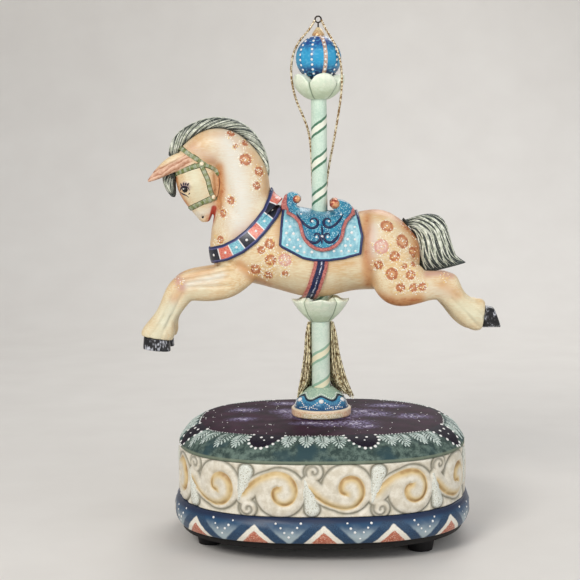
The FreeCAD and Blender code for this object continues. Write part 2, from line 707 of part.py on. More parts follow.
# Turning stand

def make_foot_ring():
    z = RING_Z
    bore, edge = SPINDLE_R + SLIP_FIT, RING_R - RING_ROUND
    edges = path((bore, z), (edge, z))
    edges.append(bow((edge, z), (RING_R, z + RING_H / 2), (edge, z + RING_H)))
    edges += path((edge, z + RING_H), (bore, z + RING_H), (bore, z))
    return revolved(edges)


def make_pole_foot():
    """Carved dome with a collar on top that holds the stand tube."""
    z = DOME_Z
    collar = TUBE_R + 1.0
    edges = path((SPINDLE_R + SLIP_FIT, z), (DOME_R, z))
    edges.append(bow((DOME_R, z), (DOME_R - 1.2, z + DOME_H * 0.32), (DOME_R - 4.6, z + DOME_H * 0.64),
                     (collar + 2.2, z + DOME_H * 0.84), (collar, z + DOME_H)))
    edges += path((collar, z + DOME_H), (TUBE_R + SLIP_FIT, z + DOME_H), (TUBE_R + SLIP_FIT, TUBE_Z),
                  (SPINDLE_R + SLIP_FIT, TUBE_Z), (SPINDLE_R + SLIP_FIT, z))
    return revolved(edges)


def make_stand_tube():
    sleeve = tube(TUBE_R, TUBE_TOP - TUBE_Z, TUBE_Z)
    return sleeve.cut(tube(TUBE_BORE_R, PEG_L + PEG_SPARE, TUBE_TOP - PEG_L - PEG_SPARE))


# Pole, cups and finial

def make_pole():
    peg = tube(PEG_R, PEG_L, CUP_Z - PEG_L)
    return peg.fuse(tube(POLE_R, FINIAL_Z + FINIAL_SEAT - CUP_Z, CUP_Z)).removeSplitter()


def petals(shell, count, radius, reach, z_top, start):
    """Keeps the arched part of a cup's rim at each petal."""
    keep = []
    for i in range(count):
        turn = math.radians(start + 360.0 * i / count)
        out = V(math.cos(turn), math.sin(turn), 0)
        keep.append(Part.makeCylinder(radius, reach, V(0, 0, z_top - radius), out))
    return shell.common(keep[0].fuse(keep[1:]))


def make_lotus_cup():
    """Flared cup of four petals under the horse, dished on top."""
    z, top = CUP_Z, HORSE_Z
    edges = path((0, z), (CUP_FOOT_R, z))
    edges.append(bow((CUP_FOOT_R, z), (CUP_FOOT_R + 3.2, z + CUP_H * 0.25), (CUP_TIP_R, top)))
    edges += path((CUP_TIP_R, top), (CUP_TIP_R - 1.6, top), (POLE_R + 3.5, top - CUP_H * 0.34),
                  (0, top - CUP_H * 0.34), (0, z))
    cup = revolved(edges)
    cup = petals(cup, CUP_PETALS, CUP_TIP_R * 0.74, CUP_TIP_R + 4, top, 0.0)
    return cup.cut(tube(POLE_R + SLIP_FIT, CUP_H, z))


def make_finial_cup():
    """Cup of five petals that holds the ball."""
    z, top = FINIAL_Z, FINIAL_Z + FINIAL_CUP_H
    edges = path((0, z), (POLE_R + FINIAL_FOOT_WALL, z))
    edges.append(bow((POLE_R + FINIAL_FOOT_WALL, z), (FINIAL_CUP_R * 0.78, z + FINIAL_CUP_H * 0.26),
                     (FINIAL_CUP_R - 0.2, z + FINIAL_CUP_H * 0.62), (FINIAL_CUP_R + 0.1, top)))
    edges += path((FINIAL_CUP_R + 0.1, top), (0, top), (0, z))
    cup = revolved(edges)
    cup = petals(cup, FINIAL_PETALS, FINIAL_CUP_R * 0.8, FINIAL_CUP_R + 4, top, FINIAL_FIRST_DEG)
    return cup.cut([Part.makeSphere(BALL_R + SLIP_FIT, V(0, 0, BALL_Z)), tube(POLE_R + SLIP_FIT, FINIAL_SEAT, z)])


def make_finial_ball():
    ball = Part.makeSphere(BALL_R, V(0, 0, BALL_Z))
    return ball.cut(tube(CAP_STEM_R + SLIP_FIT, CAP_STEM_L + SLIP_FIT, BALL_Z + BALL_R - CAP_STEM_L - SLIP_FIT))


def make_finial_cap():
    """Gilt bud on the ball, with a stem that seats in it."""
    z = CAP_Z
    edges = path((0, z), (CAP_R * 0.8, z))
    edges.append(bow((CAP_R * 0.8, z), (CAP_R, z + CAP_H * 0.32), (CAP_R * 0.72, z + CAP_H * 0.66),
                     (CAP_R * 0.26, z + CAP_H)))
    edges += path((CAP_R * 0.26, z + CAP_H), (0, z + CAP_H), (0, z))
    bud = revolved(edges).cut(Part.makeSphere(BALL_R + 0.02, V(0, 0, BALL_Z)))
    stem_z = BALL_Z + BALL_R - CAP_STEM_L
    bud = bud.fuse(tube(CAP_STEM_R, CAP_STEM_L + 0.8, stem_z)).removeSplitter()
    return bud.cut(tube(EYE_WIRE_R + SLIP_FIT, CAP_H, EYE_SHANK_Z))


def make_hanger_eye():
    """Wire eye whose shank screws down into the bud."""
    ring = Part.makeTorus(EYE_R, EYE_WIRE_R, V(0, 0, EYE_Z), ACROSS)
    return ring.fuse(tube(EYE_WIRE_R, EYE_Z - EYE_R - EYE_SHANK_Z, EYE_SHANK_Z)).removeSplitter()


# Horse: each limb is a list of sections in the side view, measured from the pole's axis and
# the top of the lotus cup: x, z, direction of the section, half height, half width

TRUNK = [(-63.5, 31, 4.5, 5), (-59, 31, 11, 11), (-51, 30.5, 17.5, 15.5), (-39, 31, 21.5, 18.5),
         (-22, 29, 24, 20), (0, 25.1, 23.9, 20.5), (20, 27.5, 22.5, 20), (36, 28.5, 22.8, 20.5),
         (47, 27, 18.6, 17.2), (54.6, 25.5, 12, 11.6), (57.4, 25, 6, 6.6)]
NECK = [(-42, 39, 44, 27, 16.5), (-45.6, 55.3, 33, 20, 14.5), (-45.3, 69.6, 27, 16.4, 12.8), (-49, 81.4, 37, 13.6, 11.5),
        (-58, 88, 73, 12.3, 10.5), (-68, 86.5, 101, 10.7, 9.6), (-76, 81, 127, 8.5, 8.5)]
HEAD = [(-75, 84, 20, 8, 7.6), (-72, 77.5, 10, 11.5, 9.5), (-70, 70, 6, 13, 10.2), (-69.3, 63, 0, 12.2, 9.8),
        (-67.5, 57, 3, 10.4, 8), (-66, 52, 5, 7.8, 6.3), (-65.4, 48, 6, 5.2, 5.2), (-65, 45.6, 6, 3.2, 3.8)]
MOUTH = [(-65.2, 43), (-62.2, 43), (-60.2, 55.4)]
EAR = [(-73, 82, 112, 4, 2.8), (-80.6, 80.6, 114, 4.9, 3.2), (-89.5, 76, 118, 3.8, 2.5), (-95.2, 71.9, 124, 2.1, 1.5),
       (-98.8, 69.2, 124, 0.7, 0.6)]
FORELEG = [(-35, 18.6, 70, 7, 3.2), (-45, 14.2, 74, 10.6, 6), (-58, 10.8, 82, 10.3, 6.9), (-70, 9.5, 92, 9.1, 6.0), (-79, 7.3, 122, 8.3, 5.5),
           (-86, -2.6, 152, 6.8, 4.6), (-90.4, -10, 162, 6.8, 4.6), (-93.8, -17, 174, 9.5, 5.5), (-94.6, -21, 171, 8.8, 5.6)]
FORE_HOOF = [(-94.9, -21.1, 171, 7.6, 5.4), (-95.0, -28, 174, 8.1, 5.9)]
HINDLEG = [(41, 25, 10, 14.5, 8.5), (44.5, 12.5, 31, 14.6, 9.4), (54, 7, 62, 11.8, 8), (64, 8.3, 82, 8.6, 6.3),
           (74, 6, 66, 9, 5.6), (79.4, -2, 59, 7.3, 4.8), (84.4, -6.3, 62, 8.2, 5.1), (90.4, -8.6, 79, 9.4, 5.8),
           (93.6, -9, 83, 7.8, 5.6)]
HIND_HOOF = [(93.7, -9.6, 83, 6.5, 5.4), (101.4, -10.2, 110, 6.2, 5.8)]
TAIL = [(50, 44, 112, 3.4, 4), (57.2, 41.6, 72, 7.4, 5.4), (64.2, 35.9, 46, 11.8, 6.6), (66, 27.8, 25, 10.8, 6.6),
        (68.4, 21.2, 19, 11.2, 5.6), (72.6, 17.4, 14, 12.6, 3.6)]
MANE = [(-84, 82.5, 155, 3.4, 3.2), (-80, 92, 140, 4.4, 5.4), (-72.5, 98, 118, 4.2, 6), (-63.5, 101.5, 98, 3.8, 6.2),
        (-53.5, 101.6, 76, 3.8, 6), (-45.5, 98.6, 55, 3.8, 5.6), (-38.6, 92.6, 42, 3.6, 5), (-33.6, 84.5, 26, 2.8, 4),
        (-31, 77, 16, 2, 2.8), (-30.2, 71, 10, 1, 1.4)]
FORELOCK = [(-84, 75, 150, 3.6, 3.6), (-87, 69.5, 158, 4.2, 3.8), (-86, 63.6, 168, 3, 3), (-84.8, 60, 172, 1.0, 1.2)]
LEG_Y = 11.0
FORELEG_Y = 10.2
EAR_Y = 6.2
FAR_HIND_DEG = 2.0        # the far hind leg trails a little lower
STRAP_T = 1.2
SADDLE_T = 2.76
SECTION_POINTS = 12
SECTION_SQUARE = 0.92     # under 1 is fuller than an ellipse


def full(c):
    return math.copysign(abs(c) ** SECTION_SQUARE, c)


def section(x, z, deg, half, width, y=0.0):
    """One rounded cross-section, stood across the side view at an angle."""
    dx, dz = math.cos(math.radians(deg)), math.sin(math.radians(deg))
    points = []
    for i in range(SECTION_POINTS):
        turn = 2 * math.pi * i / SECTION_POINTS
        rise, side = half * full(math.cos(turn)), width * full(math.sin(turn))
        points.append(V(x + dx * rise, y + side, HORSE_Z + z + dz * rise))
    curve = Part.BSplineCurve()
    curve.interpolate(points, PeriodicFlag=True)
    return Part.Wire([curve.toShape()])


def limb(sections, y=0.0, grow=0.0):
    """A smooth solid through a limb's sections, grown evenly where a strap lies on it."""
    wires = [section(x, z, deg, half + grow, width + grow, y) for x, z, deg, half, width in sections]
    return Part.makeLoft(wires, True, False)


def trunk(grow=0.0):
    return limb([(x, z, 90, half, width) for x, z, half, width in TRUNK], 0.0, grow)


def side_cut(points, smooth=False, half_width=30.0):
    """A side outline of the horse pushed right across it."""
    return slab([(x, HORSE_Z + z) for x, z in points], -half_width, half_width, smooth)


POLE_BORE_Z = -8.0
POLE_BORE_L = 80.0


def pole_bore():
    return tube(POLE_R + SLIP_FIT, POLE_BORE_L, HORSE_Z + POLE_BORE_Z)


def make_horse_body():
    """Trunk, neck, head and ears of the carved figure, with the mouth open."""
    ears = [limb(EAR, side * EAR_Y) for side in (-1, 1)]
    body = trunk().fuse([limb(NECK), limb(HEAD), *ears])
    mouth = side_cut(MOUTH)
    return body.cut([mouth, pole_bore()])


def make_legs(body):
    """Four legs, each cut to seat on the body, and their hooves."""
    pivot = V(HINDLEG[0][0], 0, HORSE_Z + HINDLEG[0][1])
    legs, hooves = {}, []
    for side, name in ((-1, "near"), (1, "far")):
        for leg, hoof, y, kind in ((FORELEG, FORE_HOOF, FORELEG_Y, "foreleg"), (HINDLEG, HIND_HOOF, LEG_Y, "hindleg")):
            upper, foot = limb(leg, side * y), limb(hoof, side * y)
            if kind == "hindleg" and name == "far":
                upper.rotate(pivot, ACROSS, FAR_HIND_DEG)
                foot.rotate(pivot, ACROSS, FAR_HIND_DEG)
            legs[name + "_" + kind] = upper.cut(body)
            hooves.append(foot.cut(upper))
    return legs, Part.makeCompound(hooves)


BLANKET = [(-20.5, 60), (-22, 48), (-23.2, 33), (-22, 31.6), (-10, 25.2), (-4, 23.8), (5, 23.6), (14, 24.8),
           (23.4, 27.4), (24.6, 38), (22, 50.5), (20, 60)]
SADDLE = [(-19, 50.5), (-14.8, 48.2), (-12.4, 45.4), (-11.4, 42), (-10.6, 38.4), (-8.9, 35.2), (-6.2, 32.3), (-2.6, 30.1),
          (1.4, 29.2), (5.6, 29.9), (9.4, 31.8), (12.2, 34.7), (13.7, 38.2), (14.3, 42), (15.8, 45.6), (19.5, 49.5),
          (14, 62), (-14, 62)]
POMMEL = [(-20.6, 49), (-21.6, 56), (-17.6, 62), (-12.4, 61), (-10.8, 57.6), (-13.4, 55.4), (-9, 50), (-13, 46)]
CANTLE = [(5.4, 48), (8.6, 51.4), (7, 55.4), (9.4, 57.2), (14.4, 56.8), (19.2, 53), (20, 48), (13, 45.6)]
POMMEL_HALF = 8.0
CANTLE_HALF = 10.0
GIRTH = [(1.4, 30), (0.2, 20), (-3.5, 8), (-8.5, -4)]
GIRTH_W = 8.2
COLLAR = [(-22.5, 67), (-25, 58), (-28, 51), (-33, 44.5), (-39, 38), (-46, 32.6), (-54, 28.6), (-62, 26.6), (-68, 26)]
COLLAR_W = 9.0
NOSEBAND = [(-80, 51), (-68, 56.7), (-56, 62.4)]
BROWBAND = [(-88, 71.5), (-67.5, 79.4), (-62, 81.5)]
CHEEK_STRAP = [(-66.8, 79), (-64, 70), (-61.8, 59)]
CROWN_STRAP = [(-80, 88.5), (-67.5, 79.2), (-57, 73.5)]
BRIDLE_W = 2.6


def make_tack(body, legs):
    """Blanket, saddle, girth, breast collar and bridle, each seated on what it lies on."""
    blanket = trunk(STRAP_T).common(side_cut(BLANKET)).cut([body, pole_bore()])
    seat = trunk(SADDLE_T).common(side_cut(SADDLE))
    horns = [slab([(x, HORSE_Z + z) for x, z in outline], -half, half, True)
             for outline, half in ((POMMEL, POMMEL_HALF), (CANTLE, CANTLE_HALF))]
    saddle = seat.fuse(horns).cut([body, blanket, pole_bore()])
    girth = trunk(STRAP_T).common(side_cut(band_outline(GIRTH, GIRTH_W)))
    girth = girth.cut([body, blanket, saddle, pole_bore()])
    shoulders = trunk(STRAP_T).fuse(limb(NECK, 0.0, STRAP_T))
    collar = shoulders.common(side_cut(band_outline(COLLAR, COLLAR_W)))
    collar = collar.cut([body, saddle, blanket, *legs])
    straps = [side_cut(band_outline(s, BRIDLE_W)) for s in (NOSEBAND, BROWBAND, CHEEK_STRAP, CROWN_STRAP)]
    bridle = limb(HEAD, 0.0, STRAP_T / 2).common(straps[0].fuse(straps[1:])).cut(body)
    return {"saddle_blanket": blanket, "saddle": saddle, "girth_strap": girth, "breast_collar": collar,
            "bridle": bridle}


# Hanging cord and tassel

CORD_ROUTE = [(-1.9, 0, -0.5), (-5, -0.6, -6), (-10.6, -1, -11.6), (-14.6, -1, -19.2), (-15.9, -0.6, -28),
              (-15.2, 0.6, -37), (-13, 2.8, -46), (-9.4, 5.4, -54), (-6, 7.2, -63), (-4.8, 7.7, -73),
              (-4.3, 7.8, -83), (-4.2, 7.8, -91), (-4.1, 7.8, -97), (-1.7, 7.8, -99.4), (1.7, 7.8, -99.4),
              (4.1, 7.8, -97), (4.5, 7.7, -91), (5.9, 7.2, -82), (8.6, 5.4, -69), (10.9, 1.6, -56),
              (12.6, -3.4, -45), (13.4, -7, -36), (13, -8.4, -28), (11.4, -8.8, -19), (7.8, -7.4, -11.6),
              (4.2, -3.8, -6), (1.9, -0.6, -0.6)]


BEND_SHARE = 0.45         # of a run that a bend may take


def corner_radius(before, corner, after):
    """The largest tangent arc that its two runs leave room for, and the turn there."""
    a, b = corner - before, after - corner
    turn = a.getAngle(b)
    return BEND_SHARE * min(a.Length, b.Length) / math.tan(turn / 2), turn


def cord_wire(points):
    edges, radii = [], []
    here = points[0]
    for before, corner, after in zip(points, points[1:], points[2:]):
        radius, turn = corner_radius(before, corner, after)
        radii.append(radius)
        back, on = (before - corner).normalize(), (after - corner).normalize()
        reach = radius * math.tan(turn / 2)
        start, end = corner + back * reach, corner + on * reach
        bisector = (back + on).normalize()
        middle = corner + bisector * (radius / math.cos(turn / 2) - radius)
        edges += [Part.LineSegment(here, start).toShape(), Part.Arc(start, middle, end).toShape()]
        here = end
    edges.append(Part.LineSegment(here, points[-1]).toShape())
    return Part.Wire(edges), radii


def make_hanging_cord():
    """Gilt hanging loop, from one side of the eye round behind the pole and back to the other."""
    points = [V(x, y, EYE_Z + z) for x, y, z in CORD_ROUTE]
    wire, radii = cord_wire(points)
    start = Part.Wire([Part.Circle(points[0], points[1] - points[0], CORD_D / 2).toShape()])
    cord = wire.makePipeShell([start], True, True)
    section_area = math.pi * CORD_D ** 2 / 4
    print("cord length %.1f, tightest radius %.2f, volume over section times length %.4f"
          % (wire.Length, min(radii), cord.Volume / (section_area * wire.Length)))
    return cord


TASSEL_DEG = 206.0        # how far the tassel's skirt reaches round the back of the tube
TASSEL_GAP = 0.5


def make_tassel():
    """Skirt of gilt threads that hangs from under the cup, round the back of the stand tube."""
    top, hem = CUP_Z - 0.3, DOME_Z + 4.5
    close = TUBE_R + TASSEL_GAP
    drop = top - hem
    edges = [bow((close, top), (close + 0.3, top - drop * 0.6), (close + 2.6, DOME_TOP + 1.4),
                 (DOME_R - 2.6, DOME_TOP - DOME_H * 0.3), (DOME_R + 1.6, hem))]
    edges += path((DOME_R + 1.6, hem), (DOME_R + 4.2, hem + 1.2))
    edges.append(bow((DOME_R + 4.2, hem + 1.2), (DOME_R - 1.2, hem + drop * 0.28), (close + 5.2, hem + drop * 0.6),
                     (close + 3.4, top - drop * 0.12), (close + 1.6, top)))
    edges += path((close + 1.6, top), (close, top))
    skirt = Part.Face(Part.Wire(edges)).revolve(V(0, 0, 0), UP, TASSEL_DEG)
    skirt.rotate(V(0, 0, 0), UP, 90 - TASSEL_DEG / 2)
    return skirt


def main():
    os.makedirs("parts", exist_ok=True)
    body = make_horse_body()
    legs, hooves = make_legs(body)
    tail = limb(TAIL).cut([body, *legs.values()])
    mane = limb(MANE).cut(body)
    tack = make_tack(body, legs.values())
    forelock = limb(FORELOCK).cut([body, tack["bridle"]])
    nodes = {
        "feet": make_feet(), "base_plate": make_base_plate(), "plinth": make_plinth(),
        "scroll_band": make_scroll_band(), "lid": make_lid(), "spindle_bush": make_spindle_bush(),
        "base_screws": Part.makeCompound(base_screw()), "movement_screws": Part.makeCompound(movement_screw()),
        "bedplate": make_bedplate(), "comb": make_comb(), "comb_screws": make_comb_screws(),
        "governor_frame": make_governor_frame(), "click_pin": make_click_pin(), "click": make_click(),
        "winding_key": make_winding_key(), "winding_arbor": make_winding_arbor(),
        "ratchet_wheel": make_ratchet_wheel(),
        "spring_barrel": make_spring_barrel(), "great_wheel": make_great_wheel(), "mainspring": make_mainspring(),
        "output_spindle": make_output_spindle(),
        "pin_cylinder": make_pin_cylinder(), "cylinder_shaft": make_cylinder_shaft(),
        "cylinder_pinion": make_cylinder_pinion(), "cylinder_wheel": make_cylinder_wheel(),
        "governor_shaft": make_governor_shaft(), "governor_pinion": make_governor_pinion(),
        "governor_wheel": make_governor_wheel(), "fly_worm": make_fly_worm(), "fly_vane": make_fly_vane(),
        "foot_ring": make_foot_ring(), "pole_foot": make_pole_foot(), "stand_tube": make_stand_tube(),
        "pole": make_pole(), "lotus_cup": make_lotus_cup(), "finial_cup": make_finial_cup(),
        "finial_ball": make_finial_ball(), "finial_cap": make_finial_cap(), "hanger_eye": make_hanger_eye(),
        "hanging_cord": make_hanging_cord(), "tassel": make_tassel(),
        "horse_body": body, "hooves": hooves, "tail": tail, "mane": mane, "forelock": forelock,
        **legs, **tack,
    }
    for name, shape in nodes.items():
        shape.exportStep("parts/" + name + ".step")
        print("%-16s solids %d valid %s volume %.1f" % (name, len(shape.Solids), shape.isValid(), shape.Volume))


main()
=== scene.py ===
import json
import math
import bpy
import bmesh
import numpy as np
from mathutils import Matrix, Vector
from mathutils.bvhtree import BVHTree


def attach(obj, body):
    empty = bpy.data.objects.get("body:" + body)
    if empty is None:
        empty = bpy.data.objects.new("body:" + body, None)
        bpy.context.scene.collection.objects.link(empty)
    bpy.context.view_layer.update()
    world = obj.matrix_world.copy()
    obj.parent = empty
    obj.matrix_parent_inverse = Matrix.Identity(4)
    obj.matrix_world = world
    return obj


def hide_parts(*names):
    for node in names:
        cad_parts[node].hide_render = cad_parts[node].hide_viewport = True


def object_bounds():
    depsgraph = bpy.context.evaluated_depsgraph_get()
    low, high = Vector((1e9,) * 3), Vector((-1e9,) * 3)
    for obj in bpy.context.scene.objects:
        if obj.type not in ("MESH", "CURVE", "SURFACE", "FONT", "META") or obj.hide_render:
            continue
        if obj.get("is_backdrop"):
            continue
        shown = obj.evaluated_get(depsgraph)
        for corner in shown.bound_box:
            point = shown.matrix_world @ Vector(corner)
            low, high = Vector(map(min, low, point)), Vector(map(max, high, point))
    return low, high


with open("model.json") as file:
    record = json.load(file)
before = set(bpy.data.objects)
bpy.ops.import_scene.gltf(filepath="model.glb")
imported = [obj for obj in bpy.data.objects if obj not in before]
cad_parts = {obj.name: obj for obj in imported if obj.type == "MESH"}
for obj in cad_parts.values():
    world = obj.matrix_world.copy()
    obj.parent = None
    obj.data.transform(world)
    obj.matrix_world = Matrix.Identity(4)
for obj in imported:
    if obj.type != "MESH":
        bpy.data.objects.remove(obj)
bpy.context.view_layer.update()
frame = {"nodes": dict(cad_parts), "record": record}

mm = 0.001
nodes = frame["nodes"]
rng = np.random.default_rng(11)
horseZ = 137.3      # top of the lotus cup: the horse's own zero, mm


# shader expressions: a Paint is one socket
class Paint:
    def __init__(self, tree, socket=None):
        self.tree, self.socket = tree, socket

    def node(self, kind, settings=None, values=None, out=0):
        made = self.tree.nodes.new(kind)
        for key, value in (settings or {}).items():
            setattr(made, key, value)
        for key, value in (values or {}).items():
            if isinstance(value, Paint):
                self.tree.links.new(value.socket, made.inputs[key])
            else:
                made.inputs[key].default_value = value
        return Paint(self.tree, made.outputs[out])

    def calc(self, operation, *terms):
        return self.node("ShaderNodeMath", {"operation": operation}, dict(enumerate(terms)))

    def __add__(self, other):
        return self.calc("ADD", self, other)

    def __radd__(self, other):
        return self.calc("ADD", other, self)

    def __sub__(self, other):
        return self.calc("SUBTRACT", self, other)

    def __mul__(self, other):
        return self.calc("MULTIPLY", self, other)

    def __truediv__(self, other):
        return self.calc("DIVIDE", self, other)

    def most(self, other):
        return self.calc("MAXIMUM", self, other)

    def size(self):
        return self.calc("ABSOLUTE", self)

    def wrap(self):
        return self.calc("FRACT", self)

    def step(self, low, high):      # 0 at low, 1 at high
        smooth = {"interpolation_type": "SMOOTHSTEP"}
        return self.node("ShaderNodeMapRange", smooth, {0: self, 1: low, 2: high})

    def stretch(self, by):
        return self.node("ShaderNodeVectorMath", {"operation": "MULTIPLY"}, {0: self, 1: by})

    def noise(self, scale, detail=2.0):
        return self.node("ShaderNodeTexNoise", None, {"Vector": self, "Scale": scale, "Detail": detail})

    def cells(self, scale):
        return self.node("ShaderNodeTexVoronoi", None, {"Vector": self, "Scale": scale})

    def axis(self, which):
        return self.node("ShaderNodeSeparateXYZ", None, {0: self}, which)

    def mix(self, a, b):            # a where this is 0, b where it is 1; each a Paint or a hex code
        a, b = (tone(colour) if isinstance(colour, str) else colour for colour in (a, b))
        return self.node("ShaderNodeMix", {"data_type": "RGBA"}, {0: self, 6: a, 7: b}, 2)

    def blend(self, low, high, a, b):
        return self.step(low, high).mix(a, b)


def tone(code):
    # a hex code as linear light
    out = []
    for i in (0, 2, 4):
        c = int(code[i:i + 2], 16) / 255
        out.append(c / 12.92 if c <= 0.04045 else ((c + 0.055) / 1.055) ** 2.4)
    return (*out, 1.0)


class Finish:
    def __init__(self, name, rough=0.45, coat=0.0, metal=0.0):
        self.material = bpy.data.materials.new(name)
        self.material.use_nodes = True
        self.tree = self.material.node_tree
        self.shader = self.tree.nodes["Principled BSDF"]
        self.shader.inputs["Roughness"].default_value = rough
        self.shader.inputs["Coat Weight"].default_value = coat
        self.shader.inputs["Coat Roughness"].default_value = 0.3
        self.shader.inputs["Specular IOR Level"].default_value = 0.3
        self.shader.inputs["Metallic"].default_value = metal
        raw = Paint(self.tree).node("ShaderNodeTexCoord", out="Object")
        self.place = raw.node("ShaderNodeVectorMath", {"operation": "SCALE"}, {0: raw, "Scale": 1000.0})

    def mask(self, name):
        return Paint(self.tree).node("ShaderNodeAttribute", {"attribute_name": name}, out="Fac")

    def feed(self, socket, paint):
        self.tree.links.new(paint.socket, self.shader.inputs[socket])
        return self

    def bump(self, height, strength, depth):
        values = {"Strength": strength, "Distance": depth * mm, "Height": height}
        return self.feed("Normal", height.node("ShaderNodeBump", None, values))


def twoTone(name, dark, light, scale, detail=2.0, ends=None, **looks):
    finish = Finish(name, **looks)
    grain = finish.place.noise(scale, detail)
    return finish.feed("Base Color", (grain.step(*ends) if ends else grain).mix(dark, light))


# mesh helpers
def linked(name, data):
    obj = bpy.data.objects.new(name, data)
    bpy.context.collection.objects.link(obj)
    return obj


def addPiece(name, verts, faces, body, finish, stands=(), weld=False):
    data = bpy.data.meshes.new(name)
    data.from_pydata(np.asarray(verts).tolist(), [], faces if isinstance(faces, list) else faces.tolist())
    if weld:
        work = bmesh.new()
        work.from_mesh(data)
        bmesh.ops.remove_doubles(work, verts=work.verts, dist=1e-6)
        bmesh.ops.recalc_face_normals(work, faces=work.faces)
        work.to_mesh(data)
        work.free()
    data.update()
    data.shade_smooth()
    return dress(linked(name, data), body, finish, stands)


def dress(obj, body, finish, stands=()):
    obj.data.materials.clear()
    obj.data.materials.append(finish.material)
    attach(obj, body)
    if stands:
        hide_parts(*stands)
    return obj


def points(obj):
    flat = np.empty(len(obj.data.vertices) * 3)
    obj.data.vertices.foreach_get("co", flat)
    return flat.reshape(-1, 3) / mm


def normals(obj):
    flat = np.empty(len(obj.data.vertices) * 3)
    obj.data.vertex_normals.foreach_get("vector", flat)
    return flat.reshape(-1, 3)


def setPoints(obj, where):
    obj.data.vertices.foreach_set("co", (np.asarray(where) * mm).ravel())
    obj.data.update()


def swell(obj, amount):
    # every point along its normal, mm
    setPoints(obj, points(obj) + normals(obj) * np.reshape(amount, (-1, 1)))


def sidePlace(obj):
    # points, and the same in the side view, mm above the horse's zero
    p = points(obj)
    return p, np.stack([p[:, 0], p[:, 2] - horseZ], 1)


def mark(obj, name, values):
    obj.data.attributes.new(name, "FLOAT", "POINT").data.foreach_set("value", np.asarray(values, np.float32))


def hoop(turns, count):
    # faces of a closed profile carried once round
    i = np.arange(turns)[:, None] * count
    after = (np.arange(turns)[:, None] + 1) % turns * count
    j = np.arange(count)[None, :]
    up = (j + 1) % count
    return np.stack([i + j, after + j, after + up, i + up], -1).reshape(-1, 4)


def lathe(profile, turns, shape=None):
    rz = np.array(profile, float)
    count = len(rz)
    angle = np.linspace(0, 2 * np.pi, turns, endpoint=False)
    a = np.repeat(angle[:, None], count, 1)
    r = np.repeat(rz[None, :, 0], turns, 0)
    z = np.repeat(rz[None, :, 1], turns, 0)
    if shape:
        r, z = shape(a, r, z)
    verts = np.stack([r * np.cos(a), r * np.sin(a), z], -1).reshape(-1, 3) * mm
    return verts, hoop(turns, count), a.ravel(), r.ravel(), z.ravel()


def reshape(name, sources, voxel, soften, body, finish):
    # a copy of CAD nodes as one even skin: voxel in mm, soften in passes
    work = bmesh.new()
    for source in sources:
        work.from_mesh(nodes[source].data)
    data = bpy.data.meshes.new(name)
    work.to_mesh(data)
    work.free()
    obj = linked(name, data)
    skin = obj.modifiers.new("skin", "REMESH")
    skin.mode, skin.voxel_size, skin.use_smooth_shade = "VOXEL", voxel * mm, True
    soft = obj.modifiers.new("soft", "SMOOTH")
    soft.factor, soft.iterations = 0.5, soften
    even = bpy.data.meshes.new_from_object(obj.evaluated_get(bpy.context.evaluated_depsgraph_get()))
    obj.modifiers.clear()
    obj.data = even
    obj.data.shade_smooth()
    return dress(obj, body, finish, sources)


def gapTo(flat, line):
    # distance of each point from an open line, the arc length of the nearest place, and the signed offset
    line = np.asarray(line, float)
    best, arc, side = np.full(len(flat), 1e9), np.zeros(len(flat)), np.zeros(len(flat))
    run = 0.0
    for a, b in zip(line[:-1], line[1:]):
        ab = b - a
        long = math.hypot(*ab)
        t = np.clip(((flat - a) @ ab) / long ** 2, 0, 1)
        off = flat - (a + t[:, None] * ab)
        d = np.hypot(off[:, 0], off[:, 1])
        near = d < best
        best = np.where(near, d, best)
        arc = np.where(near, run + t * long, arc)
        side = np.where(near, np.sign(ab[0] * off[:, 1] - ab[1] * off[:, 0]) * d, side)
        run += long
    return best, arc, side


def unit(rows):
    return rows / np.linalg.norm(rows, axis=-1, keepdims=True)


def lengths(line):
    # the way from a line's start to each of its points
    return np.concatenate([[0], np.cumsum(np.linalg.norm(np.diff(line, axis=0), axis=1))])


def readAt(where, run, table):
    # a table's rows at places along its run
    return np.stack([np.interp(where, run, column) for column in table.T], -1)


def fromNearest(x, step):
    # signed distance from the nearest multiple of a step
    return np.mod(x + step / 2, step) - step / 2


def bell(x, width):
    return np.exp(-(x / width) ** 2)


def glow(flat, line, reach):
    # 1 on a line or at a single point, and less away from it
    return bell(gapTo(flat, line)[0] if len(line) > 1 else np.hypot(*(flat - line[0]).T), reach)


def within(flat, loop):
    # signed distance to a closed outline, positive inside
    loop = np.asarray(loop, float)
    ring = np.vstack([loop, loop[:1]])
    inside = np.zeros(len(flat), bool)
    for a, b in zip(ring[:-1], ring[1:]):
        if a[1] == b[1]:
            continue
        crosses = (a[1] > flat[:, 1]) != (b[1] > flat[:, 1])
        inside ^= crosses & (flat[:, 0] < a[0] + (flat[:, 1] - a[1]) * (b[0] - a[0]) / (b[1] - a[1]))
    gap = gapTo(flat, ring)[0]
    return np.where(inside, gap, -gap)


def flow(line, count):
    # a count of points along a smooth line through these
    p = np.asarray(line, float)
    p = np.vstack([2 * p[0] - p[1], p, 2 * p[-1] - p[-2]])
    out = []
    for s in np.linspace(0, len(p) - 3 - 1e-9, count):
        k, t = int(s), s - int(s)
        a, b, c, d = p[k:k + 4]
        out.append(0.5 * (2 * b + (c - a) * t + (2 * a - 5 * b + 4 * c - d) * t * t
                          + (3 * b - a - 3 * c + d) * t ** 3))
    return np.array(out)


